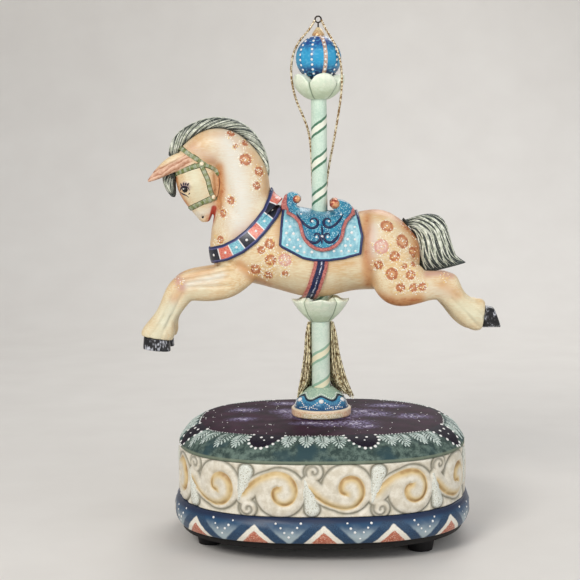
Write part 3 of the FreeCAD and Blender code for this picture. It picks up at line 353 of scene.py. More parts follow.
class Skin:
    def __init__(self, obj):
        work = bmesh.new()
        work.from_mesh(obj.data)
        self.tree = BVHTree.FromBMesh(work)
        work.free()

    def cast(self, start, aim):     # mm; the place met and the normal that faces the ray
        aim = Vector(aim).normalized()
        hit, normal = self.tree.ray_cast(Vector(start) * mm, aim)[:2]
        if hit is None:
            return None
        return np.array(hit) / mm, np.array(-normal if normal.dot(aim) > 0 else normal)

    def side(self, x, z, near):     # along Y at a place of the side view, mm above the horse's zero
        return self.cast((x, -60 if near else 60, horseZ + z), (0, 1 if near else -1, 0))

    def both(self, x, z):           # the near side's and the far side's, where there is skin
        return [met for met in (self.side(x, z, True), self.side(x, z, False)) if met]


def split(mets):
    # places and normals of the rays that met something
    mets = [met for met in mets if met]
    return [met[0] for met in mets], [met[1] for met in mets]


# sections of a raised brush stroke and of a flat strap
stroke = [(-0.5, 0), (0, 1), (0.5, 0), (0, -1)]
strap = [(-0.5, -0.3), (-0.5, 0.5), (-0.34, 1), (0.34, 1), (0.5, 0.5), (0.5, -0.3)]


def ribbons(lines, section):
    # each line: places, normals, width, height, taper; closed forms, with the arc length of every point
    verts, faces, arcs = [], [], []
    for at, out, width, height, taper in lines:
        at, out = np.asarray(at), np.asarray(out)
        if len(at) < 3:
            continue
        ahead = np.gradient(at, axis=0)
        ahead /= np.linalg.norm(ahead, axis=1)[:, None] + 1e-9
        across = np.cross(ahead, out)
        across /= np.linalg.norm(across, axis=1)[:, None] + 1e-9
        run = lengths(at)
        t = run / run[-1]
        thick = np.ones(len(at))
        if taper:
            thick = np.clip(np.minimum(t, 1 - t) / taper, 0.06, 1) ** 0.6
        base, n = len(verts), len(section)
        for k in range(len(at)):
            for s, u in section:
                verts.append(at[k] + across[k] * s * width * thick[k] + out[k] * u * height * thick[k])
                arcs.append(run[k])
        for k in range(len(at) - 1):
            for m in range(n):
                a, b = base + k * n + m, base + k * n + (m + 1) % n
                faces.append((a, a + n, b + n, b))
        faces.append(tuple(base + m for m in range(n)))
        faces.append(tuple(base + (len(at) - 1) * n + m for m in reversed(range(n))))
    return np.array(verts) * mm, faces, arcs


def addBeads(name, spots, squash, body, finish):
    # each spot: place, normal, radius
    ring, verts, faces = 8, [], []
    rows = (-0.78, -0.3, 0.3, 0.78)
    for at, out, radius in spots:
        out = unit(np.asarray(out))
        u = unit(np.cross(out, (0.31, 0.62, 0.72)))
        v = np.cross(out, u)
        base = len(verts)
        verts.append(at - out * radius * squash)
        for h in rows:
            w = math.sqrt(1 - h * h)
            for k in range(ring):
                c, s = math.cos(2 * math.pi * k / ring), math.sin(2 * math.pi * k / ring)
                verts.append(at + radius * (w * (c * u + s * v) + h * squash * out))
        verts.append(at + out * radius * squash)
        for k in range(ring):
            nxt = (k + 1) % ring
            faces.append((base, base + 1 + nxt, base + 1 + k))
            for row in range(len(rows) - 1):
                a, b = base + 1 + row * ring, base + 1 + (row + 1) * ring
                faces.append((a + k, a + nxt, b + nxt, b + k))
            top = base + 1 + (len(rows) - 1) * ring
            faces.append((top + k, top + nxt, base + 1 + len(rows) * ring))
    addPiece(name, np.array(verts) * mm, faces, body, finish)


def addRibbons(name, lines, section, body, finish):
    verts, faces = ribbons(lines, section)[:2]
    return addPiece(name, verts, faces, body, finish)


# camera, light and floor
view = {"from": (0, -0.8, 0.228), "to": (-0.01766, -0.00072, 0.1426), "lens": 85.6, "roll": 0.6,
        "sensor": 36.0, "far": 20.0}
cameraData = bpy.data.cameras.new("camera")
cameraData.lens, cameraData.sensor_width, cameraData.clip_end = view["lens"], view["sensor"], view["far"]
camera = linked("camera", cameraData)
ahead = (Vector(view["to"]) - Vector(view["from"])).normalized()
right = ahead.cross(Vector((0, 0, 1))).normalized()
upward = right.cross(ahead)
turn = math.radians(view["roll"])
c, s = math.cos(turn), math.sin(turn)
right, upward = right * c - upward * s, upward * c + right * s
camera.matrix_world = Matrix((
    (right.x, upward.x, -ahead.x, view["from"][0]), (right.y, upward.y, -ahead.y, view["from"][1]),
    (right.z, upward.z, -ahead.z, view["from"][2]), (0, 0, 0, 1)))
bpy.context.scene.camera = camera
bpy.context.scene.view_settings.view_transform = "Standard"

lamps = {
    "key": {"at": (-0.55, -1.1, 0.85), "size": 0.45, "power": 11.0, "tint": (1, 0.97, 0.93)},
    "fill": {"at": (0.9, -0.8, 0.5), "size": 0.9, "power": 4.0, "tint": (0.95, 0.97, 1)},
    "rim": {"at": (0.3, 0.9, 0.9), "size": 0.6, "power": 5.0, "tint": (1, 1, 1)},
}
aimed = Vector((0, 0, 0.13))
for name, lamp in lamps.items():
    light = bpy.data.lights.new(name, "AREA")
    light.size, light.energy, light.color = lamp["size"], lamp["power"], lamp["tint"]
    obj = linked(name, light)
    obj.location = lamp["at"]
    obj.rotation_euler = (aimed - Vector(lamp["at"])).to_track_quat("-Z", "Y").to_euler()
air = {"tint": (0.95, 0.97, 1, 1), "strength": 0.45}
world = bpy.data.worlds.new("studio")
bpy.context.scene.world = world
world.use_nodes = True
backdrop = world.node_tree.nodes["Background"].inputs
backdrop["Color"].default_value, backdrop["Strength"].default_value = air["tint"], air["strength"]

sweep = {"front": -6.0, "back": 0.75, "bend": 0.45, "height": 2.6, "half": 6.0, "steps": 16,
         "below": 0.0002}
edge = [(sweep["front"], 0.0), (sweep["back"], 0.0)]
for i in range(1, sweep["steps"] + 1):
    swing = math.pi / 2 * i / sweep["steps"]
    edge.append((sweep["back"] + sweep["bend"] * math.sin(swing), sweep["bend"] * (1 - math.cos(swing))))
edge.append((sweep["back"] + sweep["bend"], sweep["height"]))
floorVerts = [(side * sweep["half"], y, z - sweep["below"]) for y, z in edge for side in (-1, 1)]
floorFaces = [(2 * i, 2 * i + 1, 2 * i + 3, 2 * i + 2) for i in range(len(edge) - 1)]
floorData = bpy.data.meshes.new("floor")
floorData.from_pydata(floorVerts, [], floorFaces)
floorData.shade_smooth()
floor = linked("floor", floorData)
paper = twoTone("pale_paper", "d9d5d0", "e2dfda", 0.02, 3, rough=0.9)
floor.data.materials.append(paper.material)
floor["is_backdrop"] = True
print("stage: camera, lamps and floor")


# hanging cord: the route's points, mm from the eye
cordFacts = {"length": 0.2165, "diameter": 0.0012, "eyeZ": 297.9, "turn": 1.5, "samples": 900,
             "strandOut": 0.54, "strand": (0.62, 0.2)}
cordRoute = [
    (-1.9, 0, -0.5), (-5, -0.6, -6), (-10.6, -1, -11.6), (-14.6, -1, -19.2), (-15.9, -0.6, -28),
    (-15.2, 0.6, -37), (-13, 2.8, -46), (-9.4, 5.4, -54), (-6, 7.2, -63), (-4.8, 7.7, -73), (-4.3, 7.8, -83),
    (-4.2, 7.8, -91), (-4.1, 7.8, -97), (-1.7, 7.8, -99.4), (1.7, 7.8, -99.4), (4.1, 7.8, -97),
    (4.5, 7.7, -91), (5.9, 7.2, -82), (8.6, 5.4, -69), (10.9, 1.6, -56), (12.6, -3.4, -45), (13.4, -7, -36),
    (13, -8.4, -28), (11.4, -8.8, -19), (7.8, -7.4, -11.6), (4.2, -3.8, -6), (1.9, -0.6, -0.6),
]

# gold thread with painted highlights: near-white flecks over darker gold
giltThread = twoTone("gilt_thread", "8f6d3e", "fdf1d2", 0.9, 3, (0.42, 0.6), rough=0.36, metal=0.3)


def newCurve(name):
    curve = bpy.data.curves.new(name, "CURVE")
    curve.dimensions = "3D"
    curve.use_fill_caps = True
    return linked(name, curve), curve


def addThread(curve, places):
    # a smooth open thread along these, mm
    thread = curve.splines.new("NURBS")
    thread.points.add(len(places) - 1)
    for spot, (x, y, z) in zip(thread.points, places):
        spot.co = (x * mm, y * mm, z * mm, 1)
    thread.order_u, thread.use_endpoint_u = 3, True


cord, cordCurve = newCurve("hanging_thread")
cordCurve.resolution_u = 10
addThread(cordCurve, [(x, y, cordFacts["eyeZ"] + z) for x, y, z in cordRoute])
laid = bpy.data.meshes.new_from_object(cord.evaluated_get(bpy.context.evaluated_depsgraph_get()))
path = np.array([v.co for v in laid.vertices]) / mm
cordCurve.bevel_depth = cordFacts["diameter"] / 2
cordCurve.bevel_resolution = 2
dress(cord, "figure", giltThread, ["hanging_cord"])
strands = []
run = lengths(path)
fine = np.linspace(0, run[-1], cordFacts["samples"])
along = readAt(fine, run, path)
dirs = unit(readAt(fine, run, unit(np.gradient(path, axis=0))))
u = unit(np.cross(dirs, (0.0, 1.0, 0.02)))
v = np.cross(dirs, u)
for lag in (0, math.pi):
    a = fine / cordFacts["turn"] * 2 * math.pi + lag
    out = np.cos(a)[:, None] * u + np.sin(a)[:, None] * v
    strands.append((along + cordFacts["strandOut"] * out, out, *cordFacts["strand"], 0))
twist = addRibbons("hanging_thread_strands", strands, stroke, "figure", giltThread)
x, y, z = cordRoute[0]
x * mm
(cordFacts["eyeZ"] + z) * mm
print("stage: cord", round(run[-1], 1), "mm")


# the base's plan is a cushion: half depth less than half width, sides squarer than an ellipse
plan = {"trim": 10.0, "power": 2.6, "round": 5.0, "fade": 25.0, "samples": 1441}


def planRing(r, shares):
    # places and outward directions at shares of the way round, from the front toward +X, and its length
    fade = min(1.0, max(0.0, (r - plan["round"]) / plan["fade"]))
    power = 2 + (plan["power"] - 2) * fade
    a = np.linspace(-math.pi / 2, 1.5 * math.pi, plan["samples"])
    reach = (np.abs(np.cos(a) / r) ** power
             + np.abs(np.sin(a) / (r - plan["trim"] * fade)) ** power) ** (-1 / power)
    line = np.stack([reach * np.cos(a), reach * np.sin(a)], 1)
    way = lengths(line)
    ahead = np.gradient(line, axis=0)
    out = unit(np.stack([ahead[:, 1], -ahead[:, 0]], 1))
    spot = np.mod(shares, 1) * way[-1]
    return readAt(spot, way, line), readAt(spot, way, out), way[-1]


def planSweep(profile, turns):
    # a profile carried round the plan: places, faces, outward directions, shares of the way, half widths
    share = np.arange(turns) / turns
    rings = [planRing(r, share) for r, z in profile]
    at, out = (np.stack([ring[k] for ring in rings], 1) for k in (0, 1))
    r, z = (np.repeat([[pair[k] for pair in profile]], turns, 0)[..., None] for k in (0, 1))
    where = np.concatenate([at, z], -1).reshape(-1, 3)
    out = np.concatenate([out, 0 * z], -1).reshape(-1, 3)
    return where, hoop(turns, len(profile)), out, np.repeat(share, len(profile)), r.ravel()


def offFrom(share, first, count, way):
    # signed distance, mm, from the nearest of a count of evenly spaced middles
    return (np.mod((share - first) * count + 0.5, 1) - 0.5) * way / count


# plinth: bulged ring with triangles and dotted valleys
plinth = {"low": 12.6, "high": 26.4, "edge": 83.2, "bulge": 86.2, "inner": 76.0, "count": 14, "first": 0.9,
          "half": 11.0, "apex": 10.4, "turns": 840, "outer": 80.0, "wayAt": 85.0,
          "dots": (-1, -0.68, -0.36, 0, 0.36, 0.68, 1), "dot": 0.76, "dotSpan": 6.6, "dotZ": (3.6, 7.6)}


def plinthRadius(z):
    t = (z - plinth["low"]) / (plinth["high"] - plinth["low"])
    fullness = np.clip(1 - ((t - 0.46) / 0.54) ** 2, 0, 1) ** 0.8
    return plinth["edge"] + (plinth["bulge"] - plinth["edge"]) * fullness


plinthWay = planRing(plinth["wayAt"], [0])[2]
plinthFirst = plinth["first"] / plinthWay
profile = [(plinth["inner"], plinth["high"]), (plinth["inner"], plinth["low"])]
profile += [(plinthRadius(z), z) for z in np.linspace(plinth["low"], plinth["high"], 40)]
paint = Finish("plinth_paint", rough=0.42, coat=0.1)
at, faces, out, share, r = planSweep(profile, plinth["turns"])
hand = 0.12 * np.sin(44 * share + 1) + 0.1 * np.sin(107 * share + at[:, 2])
at += out * np.where(r > plinth["outer"], hand, 0)[:, None]
plinthPiece = addPiece("painted_plinth", at * mm, faces, "base", paint, ["plinth"])
flat = np.stack([offFrom(share, plinthFirst, plinth["count"], plinthWay), at[:, 2] - plinth["low"]], 1)
lean = math.hypot(plinth["half"], plinth["apex"])
toSide = (plinth["apex"] * (plinth["half"] - np.abs(flat[:, 0])) - plinth["half"] * flat[:, 1]) / lean
mark(plinthPiece, "triangle", toSide)
mark(plinthPiece, "height", flat[:, 1] / (plinth["high"] - plinth["low"]))
side = paint.mask("triangle") + (paint.place.noise(0.5, 3) - 0.5) * 0.9
height = paint.mask("height")
grain = paint.place.noise(2.6, 3)
valley = (height + (paint.place.noise(0.22, 3) - 0.5) * 0.35).blend(0.16, 0.8, "a3b2b8", "25496a")
ink = grain.blend(0.35, 0.75, "1e3450", "365876")
ground = side.blend(-5.4, -4.2, valley, ink)
ground = height.blend(0.74, 0.92, ground, "1d2c49")
ivory = grain.blend(0.4, 0.8, "ece7da", "cfc8b8")
speck = paint.place.cells(1.1).step(0.16, 0.3)
terra = (grain * 0.7 + paint.place.noise(0.9, 2) * 0.5).blend(0.45, 0.75, "a5492f", "c98a72")
terra = speck.mix("e7d3c1", terra)
surface = side.blend(-0.35, 0.35, ground, ivory)
paint.feed("Base Color", side.blend(2.3, 2.9, surface, terra))
paint.feed("Roughness", grain * 0.25 + 0.26)
paint.bump(grain, 0.35, 0.25)

whiteDots = twoTone("white_dots", "f4f1ea", "e3e4e6", 1.5, rough=0.35, coat=0.3)
spots = []
for k in range(plinth["count"]):
    for t in plinth["dots"]:
        low, rise = plinth["dotZ"]
        level = plinth["low"] + low + rise * abs(t) + rng.normal(0, 0.25)
        aside = plinth["dotSpan"] * t + rng.normal(0, 0.3)
        where = plinthFirst + (k + 0.5) / plinth["count"] + aside / plinthWay
        at, out = planRing(float(plinthRadius(level)), [where])[:2]
        spots.append((np.array([*at[0], level]), np.array([*out[0], 0.1]),
                      plinth["dot"] * rng.uniform(0.72, 1.05)))
addBeads("plinth_dots", spots, 0.45, "base", whiteDots)
print("stage: plinth")


# scroll band: volutes, curls and drops in relief
band = {"low": 26.4, "high": 55.6, "wall": 76.0, "radius": 82.0, "count": 14, "first": 13.6, "volute": 13.9,
        "stem": 5.0, "curl": 5.4, "curlAt": (18.2, 10.4), "drop": ((17.3, -9.9), (13.4, 6.2)),
        "dropLong": 16.6, "turns": 1320, "outer": 80.0}
bandMid = (band["low"] + band["high"]) / 2
bandWay = planRing(band["radius"], [0])[2]
span = bandWay / band["count"]
spiral = flow([(-20.5, -0.6), (-17.4, 2.6), (-12.6, 6.4), (-7, 8.9), (-1, 10.1), (4.6, 8.5), (8.4, 4),
               (9, -1.4), (6.6, -6.2), (2.2, -8), (-2.2, -6.4), (-4.2, -2.6), (-3.6, 0.6), (-1.4, 2)], 84)
smallCurl = flow([(-3.8, -2.2), (-4, 0.6), (-2.2, 2.9), (0.6, 3.1), (2.4, 1.1), (1.7, -1), (0, -1),
                  (-0.4, 0.4)], 24)


def mound(gap, reach, power, tall):
    return tall * np.clip(1 - (gap / reach) ** power, 0, 1) ** 0.6


def motif(u, v):
    # relief and paint of one lower volute with what follows it to the right
    flat = np.stack([u, v], 1)
    away = np.hypot(u / 1.02, v + 1.2)
    stem = gapTo(flat, spiral[:26] - (0, 3.2))[0]
    curlAt = flat - band["curlAt"]
    curl = np.hypot(curlAt[:, 0], curlAt[:, 1])
    d, arc, off = gapTo(flat, band["drop"])
    wide = 4.2 * np.clip(1 - arc / band["dropLong"], 0, 1) ** 0.75 + 0.35
    drop = np.clip(1 - (d / wide) ** 2, 0, 1)
    rise = np.maximum.reduce([mound(away, band["volute"], 5, 2.3), mound(stem, band["stem"], 3, 1.9),
                              mound(curl, band["curl"], 4, 2.0), 2.2 * np.sqrt(drop)])
    edge = np.minimum.reduce([away - band["volute"], stem - band["stem"], curl - band["curl"], d - wide])
    groove, arc, off = gapTo(flat, spiral)
    fine = gapTo(curlAt, smallCurl)[0]
    thin = np.clip(arc / 9, 0.35, 1)
    rise = rise - 1.3 * bell(groove, 1.25 * thin) - 0.85 * bell(fine, 0.7)
    # painted shade along the spiral groove: broad on one side of it, narrow on the other
    inward = np.where(off < 0, bell(groove, 3.4), bell(groove, 0.8))
    # the third value is painted shade in the small curl's groove
    return rise, inward, bell(fine, 0.85), drop, edge


def bandRelief(share, v):
    # every place takes the strongest of its own and its neighbours' motifs
    u = share * bandWay - band["first"]
    best = [np.full(len(u), start) for start in (-9.0, 0, 0, 0)]
    edge = np.full(len(u), 9.0)
    for turned in (0, 1):
        for shift in (-1, 0, 1):
            local = np.mod(u - turned * span + span, 2 * span) - span + shift * 2 * span
            got = motif(local, v if turned else -v)
            higher = got[0] > best[0]
            for k in range(4):
                best[k] = np.where(higher, got[k], best[k])
            edge = np.minimum(edge, got[4])
    ground = 1.5 * np.clip(edge / 2.4, 0, 1) ** 0.6
    # painted shade in the crevices round every raised form
    crease = bell(edge, 0.75)
    return (np.maximum(best[0], ground), *best[1:], crease)


profile = [(band["wall"], band["high"]), (band["wall"], band["low"])]
profile += [(band["radius"], z) for z in np.linspace(band["low"], band["high"], 80)]
at, faces, out, share, r = planSweep(profile, band["turns"])
outer = r > band["outer"]
level = at[outer, 2]
relief, ochre, grey, drop, crease = bandRelief(share[outer], level - bandMid)
fade = np.clip(np.minimum(level - band["low"], band["high"] - level) / 0.7, 0, 1) ** 0.5
push = np.zeros(len(r))
push[outer] = np.clip(relief, -0.9, 2.4) * fade - 0.35
carved = Finish("carved_cream", rough=0.42, coat=0.25)
bandPiece = addPiece("carved_band", (at + out * push[:, None]) * mm, faces, "base", carved,
                     ["scroll_band"])
for name, part in (("crease", crease), ("ochre", ochre), ("grey", grey), ("drop", drop)):
    whole = np.zeros(len(r))
    whole[outer] = part
    mark(bandPiece, name, whole)
grain = carved.place.noise(1.3, 4)
cream = (carved.place.noise(0.25, 3) + grain * 0.3).blend(0.45, 0.85, "e8e2d3", "d0c7b3")
# painted shade in tan along the spiral groove, darker where it is strongest
tint = carved.mask("ochre") * (carved.place.noise(0.12, 2) * 0.9 + 0.5)
cream = tint.blend(0.1, 0.9, cream, "d6bd8a")
cream = tint.blend(0.72, 1.1, cream, "a5804f")
# painted shade: grey in the small curls' grooves
cream = (carved.mask("grey") * 0.8).mix(cream, "7f7b6c")
fleck = carved.place.noise(1.9, 2).step(0.6, 0.67)
shell = fleck.mix(grain.blend(0.35, 0.75, "e6e8df", "c9ccbf"), "86703c")
cream = carved.mask("drop").blend(0.02, 0.16, cream, shell)
# painted shade: darker in the crevices round the relief
carved.feed("Base Color", (carved.mask("crease") * 0.8).mix(cream, "6d6a58"))
carved.feed("Roughness", grain * 0.3 + 0.3)
carved.bump(grain + carved.place.noise(0.5, 2), 0.3, 0.35)
print("stage: scroll band")


# lid: night-sky field, scallops, leaves and a mottled brim
lid = {
    "low": 55.6, "rim": 83.0, "top": 68.5, "bore": 4.3, "field": 65.0, "spread": 6.0, "scallops": 8,
    "first": -31.0, "scallopHalf": 9.0, "scallopDeep": 12.0, "wall": 2.5, "ledge": (60, 72), "wayAt": 70.0,
    "turns": 760, "stars": 130, "starsFrom": 19, "starsOver": 45, "leaves": (13.3, 22.2, 31.0, 39.8),
    "leaf": {"long": 10.2, "rows": 7, "wide": 4.3, "vein": 0.6, "barb": 1.2},
    "pearls": ((-2.9, 3.4, 0.9), (2.9, 3.0, 0.9), (0.3, 6.6, 0.6)),
    "clouds": [(-46, 17, 10, 8), (-46, -11, 9, 6), (-21, 37, 12, 7), (-21, 11, 10, 9), (-7, -24, 12, 6),
               (3, -26, 12, 8), (18, -24, 14, 9), (24, -33, 9, 6), (24, 10, 12, 9), (40, 29, 14, 8),
               (53, -4, 12, 8), (31, 2, 12, 9)],
}
lidLine = flow([(83.0, 57.0), (77.0, 63.6), (65.0, 67.6), (30.0, 68.5), (4.3, 68.5)], 90)
lidWay = planRing(lid["wayAt"], [0])[2]
lidFirst = lid["first"] / lidWay


def lidZ(r):
    return np.interp(r, lidLine[::-1, 0], lidLine[::-1, 1])


def fieldEdge(share):
    # half width of the plan ring that the field reaches: further out at the sides
    return lid["field"] + lid["spread"] * planRing(lid["wayAt"], share)[1][:, 0] ** 2


def lidSpot(along, beyond):
    # place and normal on the lid: mm from the front along the edge, and mm beyond the field
    r = float(fieldEdge([along / lidWay])[0]) + beyond
    at, out = planRing(r, [along / lidWay])[:2]
    slope = float(lidZ(r - 0.5) - lidZ(r + 0.5))
    up = np.array([slope * out[0, 0], slope * out[0, 1], 1.0])
    return np.array([*at[0], float(lidZ(r))]), unit(up)


under, (inside, outside) = lid["top"] - lid["wall"], lid["ledge"]
profile = [(lid["bore"], under), (inside, under), (outside, lid["low"]), (lid["rim"] - 0.5, lid["low"]),
           (lid["rim"], lid["low"] + 0.4)] + [tuple(p) for p in lidLine]
night = Finish("lid_paint", rough=0.5)
night.shader.inputs["Specular IOR Level"].default_value = 0.1
at, faces, out, share, r = planSweep(profile, lid["turns"])
hand = 0.1 * np.sin(31 * share) * np.sin(r / 9) + 0.06 * np.sin(82 * share + r / 4)
at[:, 2] += np.where((r > 20) & (at[:, 2] > 57.5), hand, 0)
lidPiece = addPiece("painted_lid", at * mm, faces, "base", night, ["lid"])
swing = offFrom(share, lidFirst, lid["scallops"], lidWay)
beyond = r - fieldEdge(share)
reach = np.hypot(swing / lid["scallopHalf"], beyond / lid["scallopDeep"])
mark(lidPiece, "field", np.maximum(-beyond, (1 - reach) * 8))
mark(lidPiece, "scallop", np.minimum((1 - reach) * 8, beyond + 1.5))
mark(lidPiece, "reach", r)
puffs = [np.exp(-((at[:, 0] - x) / w) ** 2 - ((at[:, 1] - y) / d) ** 2) for x, y, w, d in lid["clouds"]]
mark(lidPiece, "cloud", np.max(puffs, axis=0))
grain = night.place.noise(1.4, 4)
sponge = night.place.stretch((1, 1, 0.3)).noise(0.7, 5)
halo = night.mask("reach").step(31, 16)
mist = night.mask("cloud").most(halo * 0.9) * sponge.step(0.28, 0.66)
sky = (grain + night.place.noise(0.09, 3) - 0.5).blend(0.25, 0.75, "1c0a18", "3c1c32")
sky = mist.blend(0.08, 0.75, sky, "776c92")
sky = mist.blend(0.6, 1.0, sky, "cfc9da")
sky = night.mask("scallop").blend(-0.6, 0.6, sky, grain.blend(0.3, 0.8, "17131d", "2b2434"))
moss = (night.place.noise(0.3, 4) + (grain - 0.5) * 0.4).blend(0.35, 0.7, "384744", "697b72")
moss = night.place.noise(0.06, 2).blend(0.52, 0.7, moss, "354b50")
moss = (night.mask("reach").step(82.4, 82.9) * 0.7).mix(moss, "7d8672")
night.feed("Base Color", night.mask("field").blend(-0.25, 0.25, moss, sky))
night.feed("Roughness", grain * 0.3 + 0.45)
night.bump(grain, 0.3, 0.2)

spots = []
apart = lidWay / lid["scallops"]
for k in range(lid["scallops"]):
    middle = lid["first"] + apart * k
    # a fine border row, then larger dots round the scallop and three inside it
    start, end = middle + lid["scallopHalf"] + 1.2, middle + apart - lid["scallopHalf"] - 0.6
    for along in np.arange(start, end, 1.9):
        spots.append((*lidSpot(along, 0.2 + 0.2 * math.sin(along)), rng.uniform(0.32, 0.5)))
    for t in np.linspace(0, math.pi, 12):
        along, beyond = lid["scallopHalf"] * 1.06 * math.cos(t), lid["scallopDeep"] * 1.05 * math.sin(t)
        spots.append((*lidSpot(middle + along, beyond), rng.uniform(0.82, 1.08)))
    spots += [(*lidSpot(middle + along, beyond), size) for along, beyond, size in lid["pearls"]]
for k in range(lid["stars"]):
    along, far = rng.uniform(0, lidWay), lid["starsFrom"] + lid["starsOver"] * math.sqrt(rng.uniform(0, 1))
    size = rng.uniform(0.18, 0.46) if far > 30 else rng.uniform(0.14, 0.32)
    spots.append((*lidSpot(along, far - lid["field"]), size))
addBeads("lid_dots", spots, 0.45, "base", whiteDots)

leafPaint = twoTone("leaf_strokes", "9db0aa", "dde6e0", 1.2, 3, (0.3, 0.7), rough=0.5)
leaf, lines = lid["leaf"], []
for k in range(lid["scallops"]):
    for after in lid["leaves"]:
        along = lid["first"] + apart * k + after
        lean, grow = rng.normal(0, 0.1), rng.uniform(0.9, 1.08)

        def leafLine(pairs, width):
            mets = [lidSpot(along + grow * x + lean * y, 0.8 + grow * y) for x, y in pairs]
            lines.append((*split(mets), width, 0.24, 0.2))

        leafLine([(0, leaf["long"] * s) for s in np.linspace(0, 1, 9)], leaf["vein"])
        for t in np.arange(leaf["rows"]) / (leaf["rows"] - 1):
            wide, near = leaf["wide"] * math.sin(math.pi * (0.3 + 0.63 * t)), 0.85 * (1 - t) + 0.12
            for side in (-1, 1):
                leafLine([(side * (near + (wide - near) * s), 0.9 + 7.6 * t + (1.9 + 0.7 * t) * s ** 1.3)
                          for s in np.linspace(0, 1, 7)], leaf["barb"])
addRibbons("lid_leaves", lines, stroke, "base", leafPaint)
print("stage: lid")


# turning foot: ring, carved dome and stand tube
foot = {"ring": (68.9, 73.7, 17.5), "bore": 2.6, "domeLow": 73.7, "domeTop": 85.5, "socket": (5.4, 79.0),
        "waves": 6, "waveZ": 80.3, "waveTall": 1.15, "dots": 72, "dotUp": 1.25, "dot": 0.36,
        "pearl": (78.9, 1.6), "arches": [(78.2, -0.85, 0.46), (74.9, 0.2, 0.38)], "turns": (240, 288)}
low, high, wide = foot["ring"]
profile = [(foot["bore"], high), (foot["bore"], low), (wide - 0.9, low)]
for t in np.linspace(-0.96, 0.96, 15):
    profile.append((wide - 0.7 * abs(t) ** 6, low + (high - low) * (t + 1) / 2))
profile.append((wide - 1.1, high))
gilt = Finish("peach_paint", rough=0.35, coat=0.3)
verts, faces = lathe(profile, foot["turns"][0],
                     lambda a, r, z: (np.where(r > 15, r + 0.08 * np.sin(9 * a), r), z))[:2]
addPiece("gilt_ring", verts, faces, "carousel", gilt, ["foot_ring"])
patch = gilt.place.noise(0.16, 3) + (gilt.place.noise(1.6, 3) - 0.5) * 0.5
front = gilt.place.axis(1).step(-9, -16.5)
leafGold = (patch + front * 0.4).step(0.62, 0.8) * gilt.place.axis(2).step(72.9, 71.6)
peach = gilt.place.noise(0.9, 3).blend(0.3, 0.7, "e0ae86", "f6dcbb")
peach = gilt.place.axis(2).blend(72.6, 73.5, peach, "e9d8bd")
gilt.feed("Base Color", leafGold.mix(peach, gilt.place.noise(1.5, 3).blend(0.35, 0.65, "dcc38c", "fffae6")))
gilt.feed("Metallic", leafGold * 0.2)
gilt.bump(gilt.place.noise(2.2, 3), 0.3, 0.2)

domeLine = flow([(15.9, 73.7), (15.4, 76.0), (14.4, 78.2), (11.6, 81.2), (8.6, 83.6), (6.3, 85.5)], 44)


def waveAt(a):
    return foot["waveZ"] + foot["waveTall"] * np.cos(foot["waves"] * (a + math.pi / 2))


def carveDome(a, r, z):
    gap = z - waveAt(a)
    proud = 0.55 / (1 + np.exp(-gap / 0.35)) - 0.5 * bell(gap, 0.5)
    lobe = 0.5 * bell(z - 77, 2.6) * np.cos(foot["waves"] * (a + math.pi / 2))
    carved = (r > 6) & (z < foot["domeTop"] - 0.2) & (z > foot["domeLow"] + 0.1)
    return np.where(carved, r + proud + lobe, r), z


socket, floorZ = foot["socket"]
profile = [(foot["bore"], floorZ), (foot["bore"], foot["domeLow"])] + [tuple(p) for p in domeLine]
profile += [(socket, foot["domeTop"]), (socket, floorZ)]
blueDome = Finish("foot_paint", rough=0.3, coat=0.25)
verts, faces, a, r, z = lathe(profile, foot["turns"][1], carveDome)
domePiece = addPiece("carved_foot", verts, faces, "carousel", blueDome, ["pole_foot"])
mark(domePiece, "wave", z - waveAt(a))
wave = blueDome.mask("wave")
grain = blueDome.place.noise(1.2, 4)
# painted highlight: the blue grows lighter towards the top of the dome
blue = (grain + (blueDome.place.axis(2) - 77) * 0.06).blend(0.25, 0.85, "174b78", "4f9cc0")
mint = grain.blend(0.3, 0.8, "8fae9c", "c3d5bd")
body = wave.blend(-0.2, 0.2, blue, mint)
blueDome.feed("Base Color", wave.size().blend(0.75, 0.4, body, "14263c"))
blueDome.feed("Roughness", grain * 0.25 + 0.2)

domeSkin = Skin(domePiece)


def onDome(angle, z):
    c, s = math.cos(angle), math.sin(angle)
    return domeSkin.cast((30 * c, 30 * s, z), (-c, -s, 0))


spots, pearls = [], []
for k in range(foot["dots"]):
    angle = 2 * math.pi * k / foot["dots"]
    met = onDome(angle, float(waveAt(angle)) + foot["dotUp"])
    if met:
        spots.append((*met, foot["dot"]))
for k in range(foot["waves"]):
    middle = 2 * math.pi * k / foot["waves"] - math.pi / 2
    level, size = foot["pearl"]
    pearls.append((*onDome(middle, level), size))
    for hand in (-1, 1):
        for j in range(5):
            angle = middle + hand * (0.16 + 0.075 * j)
            spots += [(*onDome(angle, level + climb * j), size) for level, climb, size in foot["arches"]]
addBeads("foot_dots", spots, 0.5, "carousel", whiteDots)
addBeads("foot_pearls", pearls, 0.7, "carousel", whiteDots)


# a painted helix: height of a band's middle at the front, pitch, half width and height of its end
def stripes(finish, middle, pitch, half, top, base, shade, edge, centre):
    x, y, z = (finish.place.axis(k) for k in range(3))
    turned = x.calc("ARCTAN2", y, x) / (2 * math.pi) + 0.25
    wobble = (finish.place.noise(0.25, 2) - 0.5) * 1.1
    off = ((z - middle + wobble) / pitch - turned + 0.5).wrap() - 0.5
    off = (off * pitch).size().most(z.step(top, top + 0.6) * 50)
    grain = finish.place.noise(1.1, 4)
    ground = (grain + (finish.place.noise(0.12, 2) - 0.5)).blend(0.3, 0.8, base, shade)
    line = off.step(half * 0.42, half * 0.55) * off.step(half, half * 0.86)
    colour = off.blend(half * 0.5, half * 0.42, ground, centre)
    finish.feed("Base Color", (line * (0.74 + grain * 0.36)).mix(colour, edge))
    finish.feed("Roughness", grain * 0.3 + 0.22)
    finish.bump(grain + line * 0.6, 0.3, 0.22)


